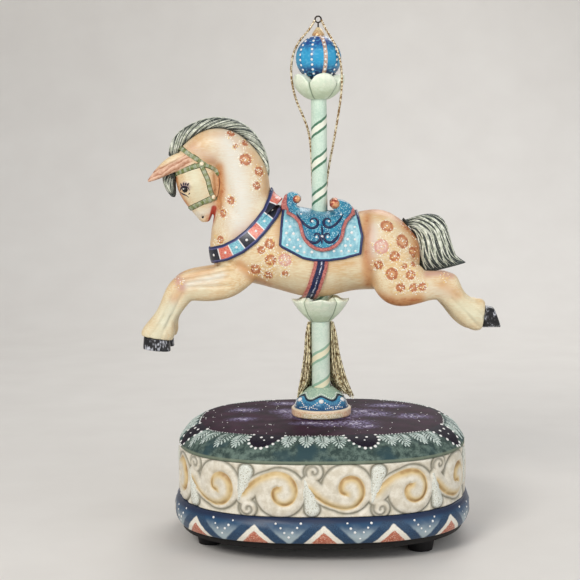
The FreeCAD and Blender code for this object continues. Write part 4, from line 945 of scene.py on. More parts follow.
striped = {
    "tube": {"node": "stand_tube", "body": "carousel", "helix": (104.9, 18.4, 3.7, 113.6),
             "tones": ("d6e3d4", "bfd5c4", "8cb298", "e9e2c2"),
             "core": [(3.0, 124.3), (3.0, 97.3), (0.4, 97.0), (0.4, 79.0)], "end": [(5.15, 124.3)],
             "radius": 5.3, "low": 79, "long": 45.2, "waves": 9, "rows": 60, "turns": 96},
    "pole": {"node": "pole", "body": "figure", "helix": (236.8, 19.2, 3.7, 246.6),
             "tones": ("d6e8d8", "bcd6c4", "2c6a49", "eef0e0"),
             "core": [(0.3, 100.4), (2.9, 100.4), (2.9, 124.4)], "end": [(0.3, 255.5)], "radius": 4.55,
             "low": 124.4, "long": 131.0, "waves": 17, "rows": 140, "turns": 96},
}
for name, rod in striped.items():
    finish = Finish(name + "_paint", rough=0.35, coat=0.35)
    stripes(finish, *rod["helix"], *rod["tones"])
    wall = [(rod["radius"] + 0.05 * math.sin(s * rod["waves"]), rod["low"] + rod["long"] * s)
            for s in np.linspace(0, 1, rod["rows"])]
    verts, faces = lathe(rod["core"] + wall + rod["end"], rod["turns"])[:2]
    addPiece("striped_" + name, verts, faces, rod["body"], finish, [rod["node"]])
print("stage: foot, tube and pole")


# petalled cups
cups = {
    "lotus": {"node": "lotus_cup", "low": 124.4, "high": 137.3, "count": 4, "first": 0.0, "notch": -4.3,
              "reach": 4.2, "raise": 0.8, "turn": 0.0},
    "finial": {"node": "finial_cup", "low": 252.5, "high": 266.7, "count": 5, "first": -83.0, "notch": 2.4,
               "reach": 2.8, "raise": 0.0, "turn": 6.0},
}
for name, cup in cups.items():
    petal = Finish(name + "_paint", rough=0.36, coat=0.3)
    obj = reshape(name + "_petals", [cup["node"]], 0.4, 4, "figure", petal)
    p = points(obj)
    sector = math.radians(360 / cup["count"])
    turnOff = fromNearest(np.arctan2(p[:, 1], p[:, 0]) - math.radians(cup["first"]), sector)
    rad = np.hypot(p[:, 0], p[:, 1])
    seam = (sector / 2 - np.abs(turnOff)) * rad
    up = (p[:, 2] - cup["low"]) / (cup["high"] - cup["low"])
    out = normals(obj)
    facing = np.clip((out[:, 0] * p[:, 0] + out[:, 1] * p[:, 1]) / rad, 0, 1)
    push = 0.55 * np.clip(seam / 3.0, 0, 1) ** 0.5 - 0.9 * bell(seam, 0.55)
    push = push * facing * np.clip(up * 3, 0, 1)
    push += 0.3 * bell(turnOff * rad, 0.9) * facing * np.clip(up * 2 - 0.4, 0, 1)
    p = p + out * push[:, None]
    p[:, 2] -= cup["notch"] * bell(seam, cup["reach"]) * np.clip(up * 2 - 0.7, 0, 1)
    p[:, 2] += cup["raise"] * (p[:, 1] / rad) ** 2 * np.clip(up, 0, 1)
    c, t = math.cos(math.radians(cup["turn"])), math.sin(math.radians(cup["turn"]))
    setPoints(obj, np.stack([p[:, 0] * c - p[:, 1] * t, p[:, 0] * t + p[:, 1] * c, p[:, 2]], 1))
    mark(obj, "seam", seam)
    mark(obj, "up", up)
    grain = petal.place.noise(1.1, 4)
    shade = (petal.mask("up") + (grain - 0.5) * 0.7).blend(0.1, 0.95, "c8d9ba", "eff5e2")
    shade = petal.place.noise(0.3, 3).blend(0.45, 0.7, shade, "dae8d0")
    petal.feed("Base Color", petal.mask("seam").blend(0.6, 0.1, shade, "7f927a"))
    petal.feed("Roughness", grain * 0.3 + 0.24)
    petal.bump(grain, 0.3, 0.25)
print("stage: cups")


# finial ball and bud
ball = {"z": 275.9, "radius": 12.95, "lines": 10, "first": -53.0, "copper": 19.0, "rows": 72, "turns": 240,
        "dots": (-0.32, 0.42, 0.072), "crown": 40, "crownAt": (0.36, 0.933)}
rise = np.pi * np.linspace(-0.5, 0.5, ball["rows"])
profile = [(max(0.0, ball["radius"] * math.cos(t)), ball["z"] + ball["radius"] * math.sin(t)) for t in rise]
lineStep = 2 * math.pi / ball["lines"]


def goreOff(a):
    return fromNearest(a + math.pi / 2 - math.radians(ball["first"]), lineStep)


def gores(a, r, z):
    flute = 0.28 * np.cos(goreOff(a) / lineStep * 2 * math.pi) * (r / ball["radius"]) ** 2
    return np.where(r > 0.5, r + flute * 0.6 - 0.15, r), z


enamel = Finish("ball_blue", rough=0.35, coat=0.25)
verts, faces = lathe(profile, ball["turns"], gores)[:2]
ballPiece = addPiece("gored_ball", verts, faces, "figure", enamel, ["finial_ball"], weld=True)
p = points(ballPiece)
turnAt = np.arctan2(p[:, 1], p[:, 0])
rad = np.hypot(p[:, 0], p[:, 1])
mark(ballPiece, "gore", np.abs(goreOff(turnAt)) * rad)
mark(ballPiece, "latitude", (p[:, 2] - ball["z"]) / ball["radius"])
copperOff = fromNearest(turnAt + math.pi / 2 - math.radians(ball["copper"]), lineStep * 5)
mark(ballPiece, "copper", np.abs(copperOff) * rad)
grain = enamel.place.noise(0.9, 4)
lat = enamel.mask("latitude")
# painted shade: the blue darkens towards the top and bottom of the ball, darkest underneath
wash = (lat.size() * 1.2 + (grain - 0.5) * 0.8).blend(0.2, 0.85, "2f9ccb", "173f86")
wash = (lat + (grain - 0.5) * 0.4).blend(-0.3, -0.75, wash, "182f57")
wash = enamel.mask("gore").blend(1.4, 0.2, wash, "2a6fa6")
streaks = enamel.place.stretch((1, 1, 2.4)).noise(0.4, 3)
wash = (streaks.step(0.5, 0.72) * 0.7).mix(wash, "5fb6da")
copperHere = enamel.mask("copper").step(1.3, 1.0)
enamel.feed("Base Color", copperHere.mix(wash, grain.blend(0.3, 0.8, "b98e76", "ead6c6")))
enamel.feed("Metallic", copperHere * 0.4)
enamel.feed("Roughness", grain * 0.25 + 0.28)
spots, heart = [], np.array([0, 0, ball["z"]])
for k in range(ball["lines"]):
    angle = math.radians(ball["first"] - 90) + lineStep * k
    for t in np.arange(*ball["dots"]):
        level = math.cos(math.pi * t)
        out = np.array([math.cos(angle) * level, math.sin(angle) * level, math.sin(math.pi * t)])
        spots.append((heart + out * (ball["radius"] + 0.02), out, 0.78 if t < 0.3 else 0.5))
for k in range(ball["crown"]):
    angle = 2 * math.pi * k / ball["crown"]
    wide, tall = ball["crownAt"]
    out = np.array([math.cos(angle) * wide, math.sin(angle) * wide, tall])
    spots.append((heart + out * ball["radius"], out, 0.32))
addBeads("ball_dots", spots, 0.55, "figure", whiteDots)

budGilt = Finish("bud_gilt", rough=0.36, metal=0.3)
budGrain = budGilt.place.noise(0.9, 4)
budTone = budGrain + (budGilt.place.axis(2) - 290) * 0.06
budGilt.feed("Base Color", budTone.blend(0.2, 0.85, "b98458", "efdcae"))
budGilt.bump(budGrain, 0.4, 0.25)
wire = twoTone("dark_wire", "241f1c", "4a4038", 1.5, 3, rough=0.4, metal=0.8)
print("stage: finial")


# horse: one skin over body and legs, pressed and painted
def lift(obj, jobs):
    # each job: line of the side view, reach and height; only where the surface faces sideways
    p, flat = sidePlace(obj)
    amount = np.zeros(len(p))
    for line, reach, height in jobs:
        amount += height * glow(flat, line, reach)
    swell(obj, amount * np.clip(np.abs(normals(obj)[:, 1]) * 1.6, 0, 1))


coat = {
    "nodes": ["horse_body", "near_foreleg", "far_foreleg", "near_hindleg", "far_hindleg"],
    "presses": [([(-60, 75), (-58.8, 66), (-59.8, 59)], 1.3, -0.6),
                ([(-52, 23), (-43, 14), (-33, 8)], 2.2, -0.8),
                ([(27, 48), (24.6, 36), (25.6, 22), (30, 9)], 2.6, -1.1), ([(40, 34), (46, 24)], 10, 1.0),
                ([(-60, 80), (-53, 66), (-49, 52)], 3.2, -0.5),
                ([(-50, 20), (-64, 17), (-79, 14.4)], 0.9, -0.85),
                ([(-52, 9.5), (-66, 9), (-76, 9)], 1.0, -0.7),
                ([(-52, 14.6), (-64, 12.6), (-77, 11.2)], 0.9, -0.7),
                ([(-82, 9), (-88.5, -4), (-92, -14)], 1.0, -0.6),
                ([(-79, 5), (-84.6, -6), (-88.4, -15)], 0.9, -0.5),
                ([(-90, -8), (-94, -14), (-98, -20)], 0.8, -0.6),
                ([(-86, -8), (-89.6, -15), (-92, -22)], 0.8, -0.6), ([(-90.2, -18.4)], 1.5, 0.5),
                ([(78, 3), (86, -3), (94.5, -10.5)], 0.9, -0.6), ([(75, 1), (82, -6), (90, -15)], 0.9, -0.6),
                ([(83, 2.6), (91, -1)], 0.8, -0.5), ([(91.4, -5.2)], 1.9, 0.6),
                ([(56, 9), (66, 10), (74, 8)], 1.6, -0.4), ([(76, 5), (82, -2.6), (88, -7)], 1.5, -0.4),
                ([(-40, 60), (-36, 48)], 7, 0.7), ([(-70, 66), (-67, 60)], 4, 0.5),
                ([(-76.6, 64.6)], 2.3, -1.0), ([(-80.6, 67.2), (-77, 68.6), (-73.6, 67)], 1.1, 0.7),
                ([(-78.6, 62.4), (-75.4, 61.6)], 1.0, 0.35), ([(-67.4, 48.6)], 1.0, -0.9),
                ([(-68.2, 50.4)], 1.6, 0.45), ([(-71.5, 60), (-69.5, 52)], 1.5, 0.3),
                ([(-95, 72.6), (-88, 77), (-81, 80)], 1.3, -0.7),
                ([(-58.6, 59.6), (-57.4, 56.1), (-58.5, 51.9), (-60.7, 47.9), (-62, 45.5)], 0.9, -0.9),
                ([(-60, 53)], 1.6, 0.5), ([(-91.6, -12.4)], 3.2, 0.7), ([(87.4, -8)], 3.4, 0.6)],
    # warm: orange along creases, under the mane and jaw and below the belly and thigh, partly the horse's
    # own orange paint and partly painted shade
    "warm": [([(-78, 86), (-66, 96), (-52, 96), (-40, 86), (-32, 70)], 3.4, 0.42),
             ([(-57.5, 77), (-56.4, 64), (-58, 54)], 4.0, 0.85),
             ([(-64, 48), (-65, 38), (-65, 28)], 3.5, 0.7), ([(-46, 22), (-38, 14), (-30, 9)], 4.2, 0.66),
             ([(27, 49), (25.5, 34), (28, 10)], 4.6, 0.74), ([(32, 2), (44, -2), (56, 0)], 5.4, 0.85),
             ([(-30, 7), (-6, 2), (20, 4)], 4.2, 0.5), ([(-62, 19), (-72, 16), (-80, 12)], 3.0, 0.5),
             ([(-80, 6), (-84, 2)], 4.0, 0.5), ([(-38, 84), (-32, 72), (-30, 62)], 4.2, 0.5),
             ([(46, 48), (56, 38), (57, 26)], 5.6, 0.9), ([(22, 53), (34, 53), (44, 51)], 4.6, 0.9),
             ([(70, 9), (78, 3)], 4.5, 0.5), ([(-82.8, 71), (-81.6, 63), (-76, 54)], 2.2, 0.85),
             ([(-60, 72), (-60, 60)], 2.6, 0.7), ([(-67, 47)], 3.0, 0.45),
             ([(-22, 52), (-24, 40), (-22, 28)], 3.5, 0.5), ([(6, 22), (20, 22)], 3.5, 0.35),
             ([(-70, 80), (-60, 80)], 3.0, 0.5)],
    "cool": [([(-86, -4), (-92, -14), (-94.5, -20)], 6.5, 0.9), ([(80, -3), (88, -8), (93, -9)], 7.0, 0.9),
             ([(-72, 73), (-69, 62)], 6.0, 0.85), ([(-66, 6), (-78, 3)], 3.5, 0.5),
             ([(-20, 12), (16, 12)], 6.0, 0.35)],
    # pale: paler paint over the neck and legs, and painted highlight strips along the forearms' upper sides
    "pale": [([(-52, 92), (-48, 76), (-44, 58), (-46, 46)], 9.5, 1.0),
             ([(-70, 50), (-64, 51), (-60, 54)], 3.4, 0.8), ([(-60, 12), (-74, 10)], 3.0, 0.5),
             ([(30, 42), (30, 30)], 4.0, 0.8), ([(60, 8), (72, 4)], 4.0, 0.4),
             ([(-78, 10), (-66, 13), (-56, 15.6)], 2.3, 0.75), ([(-84, 0), (-90, -12)], 3.0, 0.6)],
    "rose": [([(-82, 13.6), (-79.4, 9)], 2.6, 0.85), ([(-80, 18.6), (-70, 21), (-60, 24)], 1.7, 0.75),
             ([(-72, 88), (-62, 82)], 4.0, 0.4), ([(-36, 46), (-48, 38)], 3.4, 0.4),
             ([(61, 15.4), (69, 16), (75, 14.4)], 2.2, 0.75), ([(29, 40), (30, 22)], 4.0, 0.3),
             ([(-61, 52), (-63, 46)], 2.0, 0.5)],
    "spots": [(38.2, 43.2, 4.0), (34.8, 31.7, 4.4), (46.9, 34.4, 4.3), (49.2, 42.2, 2.7), (53.6, 37.8, 2.7),
              (53.1, 27.8, 3.4), (42.2, 26.1, 3.1), (33, 21.2, 2.8), (47.8, 20.4, 1.8), (53.1, 21.2, 2),
              (40.6, 16.1, 3.7), (51.3, 15.4, 2.9), (45.6, 8.1, 2.8), (53, 8.1, 2.7), (58.1, 8.4, 2.5),
              (-28.5, 33.8, 3.1), (-33.4, 30.3, 2.4), (-28.2, 24.4, 3.4), (-19.9, 24.5, 4.0), (-20, 16.6, 2),
              (-36.8, 18.9, 3.2), (-29.6, 15.4, 2.7), (-50.4, 96.4, 2.4), (-42.4, 90.8, 2.3),
              (-47.8, 89, 1.5), (-42, 81.4, 3.6), (-34.4, 74.6, 3), (-35.8, 66.5, 2.4), (-50.5, 58.2, 2.5),
              (-55.3, 50.9, 2.5), (-57, 36, 2.4), (-63.5, 34.5, 2.2)], "pink": (1, 18),
    "pearl": (0, 1, 2, 6, 7, 10, 11, 12, 15, 17, 18, 20, 21, 25, 26, 27),
    "dust": [(-81, 12, 3.4, 30), (-21, 24, 5.5, 40), (-31, 19, 6, 46), (71, 13.6, 3.2, 26), (44, 24, 13, 50),
             (-60, 33, 3.5, 20)], "mouth": [(-63.4, 44.6), (-62, 49), (-60.8, 53.6)],
    "ear": ((-76, 6.2, 81.2), (-22.8, 0, -12.0)), "earAcross": (-0.466, 0.885), "lash": (-77, 66.2),
}
hide = Finish("horse_cream", rough=0.42, coat=0.15)
horse = reshape("painted_horse", coat["nodes"], 0.62, 5, "figure", hide)
lift(horse, coat["presses"])
horseSkin = Skin(horse)
p, flat = sidePlace(horse)
for name in ("warm", "cool", "pale", "rose"):
    total = np.zeros(len(p))
    for line, reach, strength in coat[name]:
        total = np.maximum(total, strength * glow(flat, line, reach))
    mark(horse, name, total)
spotGap, pinkGap = np.full(len(p), 9.0), np.full(len(p), 9.0)
spots, goldSpots, pearls = [], [], []
for k, (x, z, r) in enumerate(coat["spots"]):
    for near in (True, False):
        met = horseSkin.side(x, z, near)
        if not met:
            continue
        d = np.linalg.norm(p - met[0], axis=1) - r
        gaps = pinkGap if k in coat["pink"] else spotGap
        np.minimum(gaps, d, out=gaps)
        if k in coat["pearl"]:
            pearls.append((*met, 0.6 if r > 3 else 0.45))
        for j in range(int(14 + 9 * r)):
            swing, far = rng.uniform(0, 2 * math.pi), r + abs(rng.normal(0.35, 0.75))
            if j % 4 == 0:
                far = r * rng.uniform(0.2, 0.9)
            dot = horseSkin.side(x + far * math.cos(swing), z + far * math.sin(swing), near)
            if dot and abs(dot[0][1] - met[0][1]) < 4:
                (goldSpots if j % 3 == 0 else spots).append((*dot, rng.uniform(0.25, 0.44)))
for x, z, r, count in coat["dust"]:
    for near in (True, False):
        for j in range(count):
            swing, far = rng.uniform(0, 2 * math.pi), r * math.sqrt(rng.uniform(0, 1))
            dot = horseSkin.side(x + far * math.cos(swing), z + far * math.sin(swing), near)
            if dot:
                (goldSpots if j % 2 else spots).append((*dot, rng.uniform(0.24, 0.42)))
mark(horse, "spot", spotGap)
mark(horse, "pink", pinkGap)
mark(horse, "mouth", gapTo(flat, coat["mouth"])[0])
(earX, earY, earZ), earWay = coat["ear"][0], np.array(coat["ear"][1])
earGaps = []
for root in (np.array([earX, -earY, horseZ + earZ]), np.array([earX, earY, horseZ + earZ])):
    along = np.clip((p - root) @ earWay / (earWay @ earWay), 0, 1)
    earGaps.append(np.linalg.norm(p - along[:, None] * earWay - root, axis=1))
mark(horse, "ear", np.minimum(*earGaps))
mark(horse, "earAcross", flat[:, 1] * coat["earAcross"][1] + flat[:, 0] * coat["earAcross"][0])
mark(horse, "lash", np.hypot(*(flat - coat["lash"]).T))

hair = hide.place.stretch((0.13, 1, 1)).noise(1.9, 4)      # brush strokes along the body
cloudy = hide.place.noise(0.12, 3)
grain = hide.place.noise(1.5, 3)
cream = (cloudy * 0.5 + hair * 0.7).blend(0.42, 0.78, "dab684", "e9dab8")
# paler paint, with painted highlight strips on the forearms
cream = (hide.mask("pale") * (0.6 + hair * 0.6)).mix(cream, "dedbd0")
cream = (hide.mask("cool") * (0.6 + grain * 0.4)).mix(cream, "d9d8bd")
# painted shade, partly the horse's own orange paint: orange in creases and under the body
warm = hide.mask("warm") * (0.45 + hair * 0.9)
cream = warm.blend(0.06, 0.95, cream, "c98a54")
cream = (warm * hide.place.noise(0.3, 2)).blend(0.28, 0.6, cream, "b26a40")
cream = (hide.mask("rose") * (0.5 + hair * 0.9)).mix(cream, "c29084")
edgeNoise = (hide.place.noise(0.9, 2) - 0.5) * 1.6
spotHere = (hide.mask("spot") + edgeNoise).step(0.25, -0.45)
russet = (grain * 0.6 + hide.place.noise(0.5, 2) * 0.6).blend(0.4, 0.8, "9c4724", "c67a4c")
russet = hide.mask("spot").blend(-1.2, -2.4, russet, "cf9468")
cream = (spotHere * 0.9).mix(cream, russet)
blush = hide.mask("pink").blend(-0.6, -2.2, "d18f86", grain.blend(0.35, 0.7, "e6c4b8", "d69c90"))
cream = ((hide.mask("pink") + edgeNoise).step(0.3, -0.7) * 0.85).mix(cream, blush)
combed = (hide.mask("earAcross") * 0.42 + hide.place.noise(0.14, 2) * 1.6).wrap()
fur = (combed * 0.5 + hide.place.noise(0.6, 3) * 0.7).blend(0.3, 0.85, "ad775a", "e2bba0")
cream = hide.mask("ear").blend(5.4, 3.4, cream, fur)
cream = hide.mask("mouth").blend(2.1, 1.1, cream, "a8402f")
hide.feed("Base Color", (hide.mask("lash").step(4.4, 1.4) * 0.5).mix(cream, "9a86a0"))
hide.feed("Roughness", grain * 0.25 + 0.34)
hide.bump(hair + grain * 0.4, 0.35, 0.3)

glitter = twoTone("white_specks", "fbf6ea", "efe6d2", 2, rough=0.3, coat=0.3)
goldGlitter = twoTone("gold_specks", "f7e2a4", "dcb462", 2, rough=0.3, metal=0.2)
addBeads("horse_specks", spots, 0.5, "figure", glitter)
addBeads("horse_gold_specks", goldSpots, 0.5, "figure", goldGlitter)
addBeads("horse_pearls", pearls, 0.7, "figure", glitter)
print("stage: horse", len(p), "points")


def sideLine(skin, line, near, count=0):
    return split([skin.side(x, z, near) for x, z in (flow(line, count) if count else line)])


# eyes, nostrils, lashes
face = {
    "eye": (-77.2, 64.5), "eyeSize": 1.85, "glint": (-0.5, 0, 0.55), "glintSize": 0.42,
    "nostril": (-67.3, 48.5), "nostrilSize": 1.15,
    "lash": [([(-80.4, 63.4), (-79.4, 65.6), (-77.6, 66.4), (-75.6, 65.8), (-74.4, 64)], 1.56),
             ([(-79, 66.4), (-79.8, 68.2)], 1.3), ([(-78, 67), (-77.8, 68.8)], 1.04),
             ([(-77, 67), (-76.2, 68.6)], 1.3), ([(-75.8, 66.8), (-74.6, 68.4)], 1.3),
             ([(-80.8, 63.2), (-78.6, 61.9), (-76.6, 61.2), (-75, 59.8)], 1.17),
             ([(-75.2, 61.6), (-74.2, 62.8)], 0.78), ([(-84.6, 73.6), (-89.6, 71.6), (-94, 70.4)], 0.78)],
}
ink = twoTone("lash_ink", "1e1626", "43364f", 1.5, rough=0.4)
gloss = twoTone("eye_gloss", "080607", "140e0e", 0.8, rough=0.3, coat=0.2)
lines, eyes, glints, holes = [], [], [], []
for near in (True, False):
    at, out = horseSkin.side(*face["eye"], near)
    eyes.append((at + out * 0.1, out, face["eyeSize"]))
    glints.append((at + out * 1.12 + np.array(face["glint"]), out, face["glintSize"]))
    at, out = horseSkin.side(*face["nostril"], near)
    holes.append((at - out * 0.3, out, face["nostrilSize"]))
    for line, width in face["lash"]:
        at, out = sideLine(horseSkin, line, near, 12)
        lines.append((at, out, width, 0.2, 0.5))
addRibbons("lashes", lines, stroke, "figure", ink)
addBeads("eyes", eyes + holes, 0.6, "figure", gloss)
addBeads("eye_glints", glints, 0.6, "figure", whiteDots)


# bridle: bands round the head, cheek straps and rosettes
bridle = {
    "bands": [((-67.2, 57.1), (-80, 51), 122), ((-74.6, 76.6), (-88, 71.5), 116),
              ((-68.2, 80.6), (-80, 88.5), 118)],
    "sides": [[(-67.2, 77.6), (-65.2, 73.2), (-63.7, 69.4), (-62.8, 65), (-61.6, 61)],
              [(-74.4, 76.7), (-71, 77.7), (-67.6, 78.6)],
              [(-67.6, 78.8), (-63.5, 77.8), (-59.8, 75.6), (-57.8, 72.6)],
              [(-66.4, 57.2), (-63, 58.2), (-59.4, 59.6)]],
    "latch": [(-57.8, 72.6), (-57.2, 68), (-58, 62.6), (-59.2, 59.4)],
    "knobs": [(-67.4, 79.0, 1.35), (-61.2, 60.2, 1.5)], "width": 2.5, "sideWidth": 2.3, "piping": 1.28,
    "tile": 3.4,
}
leather = Finish("bridle_sage", rough=0.42, coat=0.2)
lines, thin, knobs = [], [], []
for middle, tip, sweepDeg in bridle["bands"]:       # nose, brow and crown
    axis = unit(np.array(tip) - middle)
    mets = []
    for deg in np.linspace(-sweepDeg, sweepDeg, 64):
        c, s = math.cos(math.radians(deg)), math.sin(math.radians(deg))
        aim = np.array([axis[0] * c, s, axis[1] * c])
        mets.append(horseSkin.cast(np.array([middle[0], 0, horseZ + middle[1]]) + aim * 17, -aim))
    lines.append((*split(mets), bridle["width"], 0.55, 0))
for near in (True, False):
    for line in bridle["sides"]:
        at, out = sideLine(horseSkin, line, near, 22)
        lines.append((at, out, bridle["sideWidth"], 0.62, 0))
    at, out = sideLine(horseSkin, bridle["latch"], near, 16)
    thin.append((at, out, 0.7, 0.35, 0.2))
    for x, z, r in bridle["knobs"]:
        at, out = horseSkin.side(x, z, near)
        knobs.append((at + out * 0.5, out, r))
piping = [(at, out, width * bridle["piping"], 0.3, taper) for at, out, width, tall, taper in lines]
oliveEdge = twoTone("bridle_edge", "3c3d22", "6a6a44", 1.1, 3, rough=0.5)
addRibbons("bridle_edges", piping, stroke, "figure", oliveEdge)
verts, faces, arcs = ribbons(lines, strap)
straps = addPiece("bridle_straps", verts, faces, "figure", leather, ["bridle"])
mark(straps, "run", arcs)
beat = (leather.mask("run") / bridle["tile"]).wrap()
tile = (beat - 0.5).size().step(0.18, 0.32)
grain = leather.place.noise(1.6, 3)
sage = (grain * 0.6 + leather.place.noise(0.35, 2) * 0.6).blend(0.4, 0.85, "5d6d2a", "a4a886")
leather.feed("Base Color", (tile * (0.05 + grain * 0.6)).mix(sage, "c9d0c2"))
leather.bump(grain + tile, 0.3, 0.25)
russetLine = twoTone("latch_line", "5a3426", "8a5238", 1.2, rough=0.45)
addRibbons("throat_latch", thin, stroke, "figure", russetLine)
ivoryKnob = twoTone("ivory_knob", "e9d9b4", "f3ead2", 0.9, 3, (0.35, 0.7), rough=0.3, coat=0.4)
addBeads("bridle_knobs", knobs, 0.6, "figure", ivoryKnob)
print("stage: face and bridle")


# hair: dark forms combed with pale strokes
comb = {
    "mane": {"inner": [(-86, 77), (-79.5, 86), (-73.5, 93), (-64, 97), (-54, 97.4), (-46.4, 95), (-39.6, 90),
                       (-35, 83), (-32, 76), (-30.6, 70)],
             "outer": [(-87, 84.6), (-83.6, 95), (-74.6, 102), (-64, 105.4), (-52.6, 105.4), (-43.4, 102),
                       (-36, 95.4), (-31, 86.4), (-29, 77.6), (-29.4, 70.4)], "count": 58, "slip": 0.2,
             "crest": 64, "width": (0.3, 0.55)},
    "tail": {"inner": [(51.6, 40.6), (54.6, 38.6), (56.4, 33), (56.4, 26), (57.4, 20), (60.6, 14.4)],
             "outer": [(51, 48), (60.6, 51), (72, 45.6), (77.4, 34), (80.6, 26), (86, 22)], "count": 40,
             "width": (0.6, 1.0)},
    "forelock": {"inner": [(-84.4, 71.4), (-84.6, 67), (-84.6, 62)],
                 "outer": [(-88, 76.4), (-91, 70), (-87.4, 62)], "count": 9, "width": (0.3, 0.5)},
}
hairDark = Finish("hair_charcoal", rough=0.5)
hairGrain = hairDark.place.noise(1.5, 4)
hairDark.feed("Base Color", hairGrain.blend(0.35, 0.8, "2c3131", "626a62"))
hairDark.bump(hairGrain, 0.5, 0.4)
hairPale = twoTone("hair_strokes", "b6bca8", "f4f6e8", 0.5, 3, (0.3, 0.7), rough=0.45)
last = 79
for name, hairFacts in comb.items():
    form = reshape(name + "_form", [name], 0.45, 3, "figure", hairDark)
    skin = Skin(form)
    inner, outer = flow(hairFacts["inner"], last + 1), flow(hairFacts["outer"], last + 1)
    lines, jobs = [], []
    for k in range(hairFacts["count"]):
        f = (k + rng.uniform(0.1, 0.9)) / hairFacts["count"]
        if name == "mane":          # strokes slip from the roots to the crest
            s = np.linspace(0, 1, 14)
            place = np.clip(f * 1.12 - 0.1 - hairFacts["slip"] * (0.5 - s), 0, 1) * last
            rise = 0.06 + 0.9 * s
        else:                       # strands run the form's whole length
            start = rng.uniform(0, 0.3) if k % 2 else 0
            place = np.linspace(start, rng.uniform(0.95, 1), 26) * last
            rise = np.full(26, f) + 0.03 * np.sin(np.linspace(0, 7, 26) + k)
        low, top = (readAt(place, np.arange(last + 1), edge) for edge in (inner, outer))
        line = low + (top - low) * rise[:, None]
        jobs.append((line[::3], 0.5, 0.28 if k % 2 else -0.35))
        width = rng.uniform(*hairFacts["width"])
        for near in (True, False):
            at, out = sideLine(skin, line, near)
            if len(at) > 3:
                lines.append((at, out, width, 0.26, 0.35))
    for k in range(hairFacts.get("crest", 0)):        # strokes over the top, slanting from side to side
        start = (k + rng.uniform(0, 1)) / hairFacts["crest"] * 0.92
        lean = rng.choice((-1, 1)) * rng.uniform(0.6, 3.4)
        mets = []
        for s in np.linspace(0, 1, 10):
            place = int(min(last, (start + 0.1 * s) * last))
            (x, z), (dx, dz) = outer[place], outer[place] - inner[place]
            aim = unit(np.array([dx, 0, dz]))
            mets.append(skin.cast(np.array([x, lean * (1 - 0.7 * s), horseZ + z]) + aim * 6, -aim))
        at, out = split(mets)
        if len(at) > 5:
            lines.append((at, out, rng.uniform(*hairFacts["width"]), 0.26, 0.35))
    lift(form, jobs)
    addRibbons(name + "_strokes", lines, stroke, "figure", hairPale)
print("stage: hair")


# hooves
horn = Finish("hoof_black", rough=0.35, coat=0.4)
streak = horn.place.stretch((1, 1, 0.25)).noise(1.4, 4)
# painted highlight: pale streaks on the glossy black hooves
hoofSheen = streak * 0.6 + horn.place.noise(0.25, 2) * 0.6
horn.feed("Base Color", hoofSheen.blend(0.62, 0.76, "131317", "c6c9d2"))
horn.feed("Roughness", streak * 0.4 + 0.2)
horn.bump(streak, 0.4, 0.3)
reshape("painted_hooves", ["hooves"], 0.45, 3, "figure", horn)


# saddle blanket, saddle, girth and collar
tack = {
    "blanket": [(-20.5, 60), (-22, 48), (-23.2, 33), (-22, 31.6), (-10, 25.2), (-4, 23.8), (5, 23.6),
                (14, 24.8), (23.4, 27.4), (24.6, 38), (22, 50.5), (20, 60)],
    "saddle": [(-19, 50.5), (-14.8, 48.2), (-12.4, 45.4), (-11.4, 42), (-10.6, 38.4), (-8.9, 35.2),
               (-6.2, 32.3), (-2.6, 30.1), (1.4, 29.2), (5.6, 29.9), (9.4, 31.8), (12.2, 34.7), (13.7, 38.2),
               (14.3, 42), (15.8, 45.6), (19.5, 49.5), (22, 62), (-22, 62)],
    "girth": [(1.4, 30), (0.2, 20), (-3.5, 8), (-8.5, -4)],
    "collar": [(-22.5, 67), (-25, 58), (-28, 51), (-33, 44.5), (-39, 38), (-46, 32.6), (-54, 28.6),
               (-62, 26.6), (-68, 26)], "panel": 7.3, "panelStart": 8.0, "collarProud": 0.4,
    "scrolls": [([(-13.4, 51), (-11.4, 47.6), (-8.4, 44.4), (-4.6, 42.4), (-1.6, 43.6), (-1.2, 46.4),
                  (-3.4, 47.8), (-5.4, 46.4), (-4.4, 44.9)], 1.7),
                ([(13.6, 50), (11.4, 46.8), (8.6, 44), (5.2, 42.6), (2.6, 44), (2.4, 46.4), (4.4, 47.6),
                  (6.2, 46.2), (5.2, 44.8)], 1.7),
                ([(-8.6, 38.6), (-7, 36.2), (-4.2, 34.4), (-1.4, 34.6), (0.2, 36.8), (-0.6, 39),
                  (-2.6, 39.2), (-3.2, 37.6)], 1.6),
                ([(11, 39.4), (9.4, 36.8), (6.8, 34.6), (4.2, 34.6), (2.4, 36.6), (3, 38.8), (5, 39.2),
                  (5.6, 37.7)], 1.6),
                ([(1.2, 33), (1.0, 36), (1.4, 40), (1.0, 44)], 1.2)],
    "dots": {"rows": 9, "cols": 13, "from": (-23, 25.5), "apart": (4.1, 3.5), "shift": 2.0, "rim": 2.6,
             "saddle": 1.4, "girth": 5.0, "size": (0.7, 0.98)},
    "knobs": [(-13.0, 58.4, 2.3, 7.6), (8.6, 55.6, 2.9, 9.4)],
    "pearls": [(-4.2, 46.2, 0.9), (5.2, 46.1, 0.8), (1.3, 37.8, 0.9), (-1.9, 37.4, 0.7), (4.4, 37.4, 0.7),
               (-10.6, 50.2, 0.7), (12.2, 49.6, 0.7)],
}


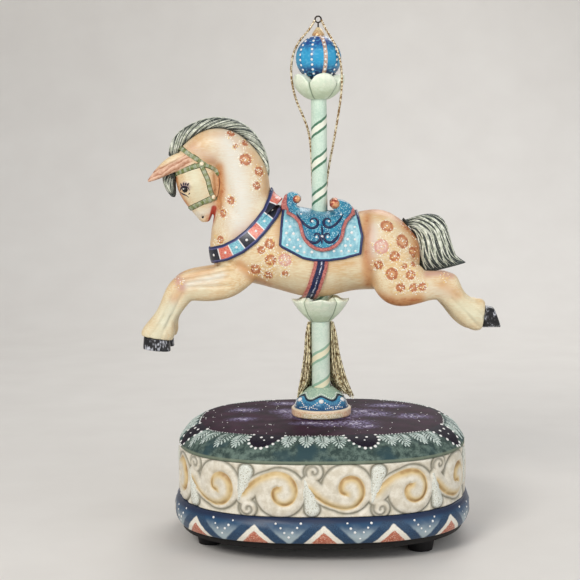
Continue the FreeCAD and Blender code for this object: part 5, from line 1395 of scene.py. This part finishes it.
blanketPaint = Finish("blanket_paint", rough=0.4, coat=0.25)
blanket = reshape("painted_blanket", ["saddle_blanket"], 0.4, 3, "figure", blanketPaint)
flat = sidePlace(blanket)[1]
rim = gapTo(flat, tack["blanket"])[0]
mark(blanket, "rim", rim)
swell(blanket, 0.35 * bell(rim - 0.7, 0.7) - 0.2 * bell(rim - 1.9, 0.5))
grain = blanketPaint.place.noise(1.2, 4)
rimMask = blanketPaint.mask("rim") + (blanketPaint.place.noise(0.6, 2) - 0.5) * 0.5
weave = blanketPaint.place.stretch((1, 1, 0.35)).noise(0.5, 3)
cloth = (weave + (grain - 0.5) * 0.3).blend(0.35, 0.7, "7fb6c6", "b4dbe2")
cloth = rimMask.blend(2.6, 1.6, cloth, "8fd0dc")
blanketPaint.feed("Base Color", rimMask.blend(1.55, 1.25, cloth, grain.mix("1d2347", "32406f")))
blanketPaint.bump(grain, 0.3, 0.25)
skin = Skin(blanket)
dots, spots = tack["dots"], []
for row in range(dots["rows"]):
    for col in range(dots["cols"]):
        x = dots["from"][0] + dots["apart"][0] * col + dots["shift"] * (row % 2) + rng.normal(0, 0.35)
        z = dots["from"][1] + dots["apart"][1] * row + rng.normal(0, 0.3)
        place = np.array([[x, z]])
        inside = within(place, tack["blanket"])[0] > dots["rim"]
        below = within(place, tack["saddle"])[0] < -dots["saddle"]
        if inside and below and gapTo(place, tack["girth"])[0][0] > dots["girth"]:
            spots += [(*met, rng.uniform(*dots["size"])) for met in skin.both(x, z)]
addBeads("blanket_dots", spots, 0.5, "figure", whiteDots)

saddlePaint = Finish("saddle_paint", rough=0.38, coat=0.3)
saddle = reshape("painted_saddle", ["saddle"], 0.4, 4, "figure", saddlePaint)
flat = sidePlace(saddle)[1]
seam = gapTo(flat, [(-20.6, 60.4), (-20.8, 55)] + tack["saddle"][:16] + [(20.6, 52.6)])[0]
mark(saddle, "seam", seam)
swell(saddle, 0.4 * bell(seam - 0.9, 0.8) - 0.35 * bell(seam - 2.2, 0.5))
grain = saddlePaint.place.noise(1.2, 4)
stipple = saddlePaint.place.cells(1.15).step(0.42, 0.26)
wash = (saddlePaint.place.noise(0.2, 3) + (grain - 0.5) * 0.4).blend(0.35, 0.7, "1c6f92", "3d97b3")
seat = (stipple * 0.8).mix(wash, "b9dfe6")
seamMask = saddlePaint.mask("seam") + (saddlePaint.place.noise(0.7, 2) - 0.5) * 0.4
coral = grain.blend(0.3, 0.75, "a44f4a", "d38a80")
seat = seamMask.blend(2.35, 2.0, seat, "2b4a6e")
saddlePaint.feed("Base Color", seamMask.blend(2.0, 1.75, seat, coral))
saddlePaint.bump(grain + stipple, 0.4, 0.3)
skin = Skin(saddle)
navy = twoTone("navy_scrolls", "161c3e", "27345f", 1.1, rough=0.35, coat=0.3)
lines = []
for line, width in tack["scrolls"]:
    for near in (True, False):
        at, out = sideLine(skin, line, near, 40)
        lines.append((at, out, width, 0.42, 0.2))
addRibbons("saddle_scrolls", lines, stroke, "figure", navy)
copper = twoTone("copper_knobs", "a8453a", "e0a878", 0.45, 3, (0.35, 0.65), rough=0.3, metal=0.25, coat=0.3)
knobs = []
for x, z, r, half in tack["knobs"]:
    for y in np.linspace(-half, half, 7):
        wide = r * (1.08 if abs(y) > half - 0.1 else 1.0)
        knobs.append((np.array([x, y, horseZ + z]), np.array([0, 1.0, 0]), wide))
addBeads("saddle_knobs", knobs, 0.8, "figure", copper)
pearlDots = [(*met, r) for x, z, r in tack["pearls"] for met in skin.both(x, z)]
addBeads("saddle_pearls", pearlDots, 0.45, "figure", whiteDots)

girthPaint = Finish("girth_paint", rough=0.38, coat=0.25)
girth = reshape("painted_girth", ["girth_strap"], 0.35, 2, "figure", girthPaint)
flat = sidePlace(girth)[1]
mark(girth, "off", gapTo(flat, tack["girth"])[2])
grain = girthPaint.place.noise(1.2, 4)
across = girthPaint.mask("off") + (girthPaint.place.noise(0.5, 2) - 0.5) * 0.9
edgePaint = grain.blend(0.3, 0.75, "a34f49", "d68f85")
middlePaint = grain.blend(0.3, 0.8, "171b3a", "2c3763")
stitch = (across - 0.3).size().step(0.5, 0.2) * girthPaint.place.noise(0.8, 2).step(0.4, 0.55)
middlePaint = stitch.mix(middlePaint, "c9cfe0")
girthPaint.feed("Base Color", across.size().blend(2.0, 2.3, middlePaint, edgePaint))
girthPaint.bump(grain, 0.3, 0.25)

collarPaint = Finish("collar_paint", rough=0.36, coat=0.3)
collar = reshape("painted_collar", ["breast_collar"], 0.36, 2, "figure", collarPaint)
flat = sidePlace(collar)[1]
swell(collar, tack["collarProud"])
d, arc, off = gapTo(flat, tack["collar"])
mark(collar, "off", off)
mark(collar, "along", (arc - tack["panelStart"]) / tack["panel"] + 0.5)
tile = collarPaint.mask("along")
grain = collarPaint.place.noise(1.2, 4)
coral = grain.blend(0.3, 0.75, "cf5c4c", "e39a86")
black = grain.blend(0.3, 0.75, "14161f", "262c3e")
sky = grain.blend(0.3, 0.75, "5aa5bb", "9fd0d8")
colour = coral
panels = (black, sky, coral, black, sky, coral, black, black)
for k, panel in enumerate(panels):
    colour = tile.blend(k + 0.99, k + 1.01, colour, panel)
joint = ((tile + 0.5).wrap() - 0.5).size().step(0.06, 0.03)
colour = joint.mix(colour, "e9e4e2")
edgeMask = (collarPaint.mask("off") + (collarPaint.place.noise(0.6, 2) - 0.5) * 0.3).size()
colour = edgeMask.blend(3.0, 3.25, colour, "5d5f8d")
collarPaint.feed("Base Color", edgeMask.blend(3.45, 3.7, colour, grain.mix("1b2048", "333f70")))
collarPaint.bump(grain, 0.3, 0.25)
skin = Skin(collar)
path = np.asarray(tack["collar"], float)
middles = tack["panelStart"] + tack["panel"] * np.arange(len(panels))
spots = [(*met, 0.85) for x, z in readAt(middles, lengths(path), path) for met in skin.both(x, z)]
addBeads("collar_dots", spots, 0.5, "figure", whiteDots)
print("stage: tack")


# tassel: gilt threads round the back of the tube
tassel = {"threads": 260, "half": 100, "top": 123.6, "hem": 78.6, "long": 45, "rows": 8, "thick": 0.3,
          "tuck": 0.26,
          "inner": [(78.2, 17.8), (82, 13.8), (86.9, 9.2), (90, 8.0), (97, 6.4), (110, 6.2), (124.1, 6.0)],
          "outer": [(78.2, 19.8), (84, 17.2), (91, 14.5), (105, 10.8), (118.7, 9.0), (124.1, 7.2)]}
inner, outer = np.array(tassel["inner"]), np.array(tassel["outer"])
tasselPiece, skirt = newCurve("gilt_tassel")
skirt.bevel_depth, skirt.bevel_resolution, skirt.resolution_u = tassel["thick"] * mm, 0, 3
for k in range(tassel["threads"]):
    angle = math.radians(90 + rng.uniform(-tassel["half"], tassel["half"]))
    depth = rng.uniform(0, 1)
    hem = tassel["hem"] + rng.uniform(0, 3.4)
    phase = rng.uniform(0, 6)
    places = []
    for level in np.linspace(tassel["top"], hem, tassel["rows"]):
        r, far = (np.interp(level, edge[:, 0], edge[:, 1]) for edge in (inner, outer))
        r = r * (1 - depth) + far * depth
        r *= 1 - tassel["tuck"] * max(0, -math.cos(angle)) * (tassel["top"] - level) / tassel["long"]
        swing = angle + 0.05 * math.sin(level / 5 + phase) * (tassel["top"] - level) / tassel["long"]
        places.append((r * math.cos(swing), r * math.sin(swing), level))
    addThread(skirt, places)
tinsel = Finish("gold_tinsel", rough=0.34, metal=0.15)
# painted glints and painted shadow: near-white flashes over dark brown on the gold threads
glintAndShadow = tinsel.place.stretch((1.2, 1.2, 0.5)).noise(1.0, 3).step(0.4, 0.56)
tinsel.feed("Base Color", glintAndShadow.mix("6b4e22", "fdf2cc"))
dress(tasselPiece, "figure", tinsel, ["tassel"])
print("stage: tassel")


# movement, feet and plate keep their CAD shapes
def plainFinish(name, dark, light, rough, metal, grainScale=(1, 1, 1)):
    finish = Finish(name, rough=rough, metal=metal)
    brushed = finish.place.stretch(grainScale).noise(1.2, 3)
    finish.feed("Base Color", brushed.blend(0.3, 0.75, dark, light))
    finish.feed("Roughness", brushed * 0.3 + (rough - 0.12))
    finish.bump(brushed, 0.15, 0.1)
    return finish


plain = {
    "black_rubber": ("0b0a0b", "171516", 0.6, 0.0),
    "black_lacquer": ("080707", "15100f", 0.5, 0.0),
    "black_plastic": ("1a1a1b", "2a2a2c", 0.5, 0.0),
    "brass": ("a07c3c", "d0ad62", 0.35, 0.95, (0.3, 2, 2)),
    "steel": ("8d9094", "b9bcc0", 0.32, 0.95, (2, 2, 0.3)),
    "cast_bed": ("6d6a63", "8f8b82", 0.5, 0.85),
    "blued_spring": ("2b3346", "4d5a74", 0.3, 0.9, (2, 2, 0.2)),
}
finishes = {name: plainFinish(name, *facts) for name, facts in plain.items()}
finishes.update({"gilt": budGilt, "dark_wire": wire})
slots = {piece["node"]: piece["material_slot"] for piece in frame["record"]["subparts"]}
for name, obj in nodes.items():
    if obj.hide_render:
        continue
    finish = finishes[slots[name]]
    obj.data.materials.clear()
    obj.data.materials.append(finish.material)
    print("kept", name, finish.material.name)

low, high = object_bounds()
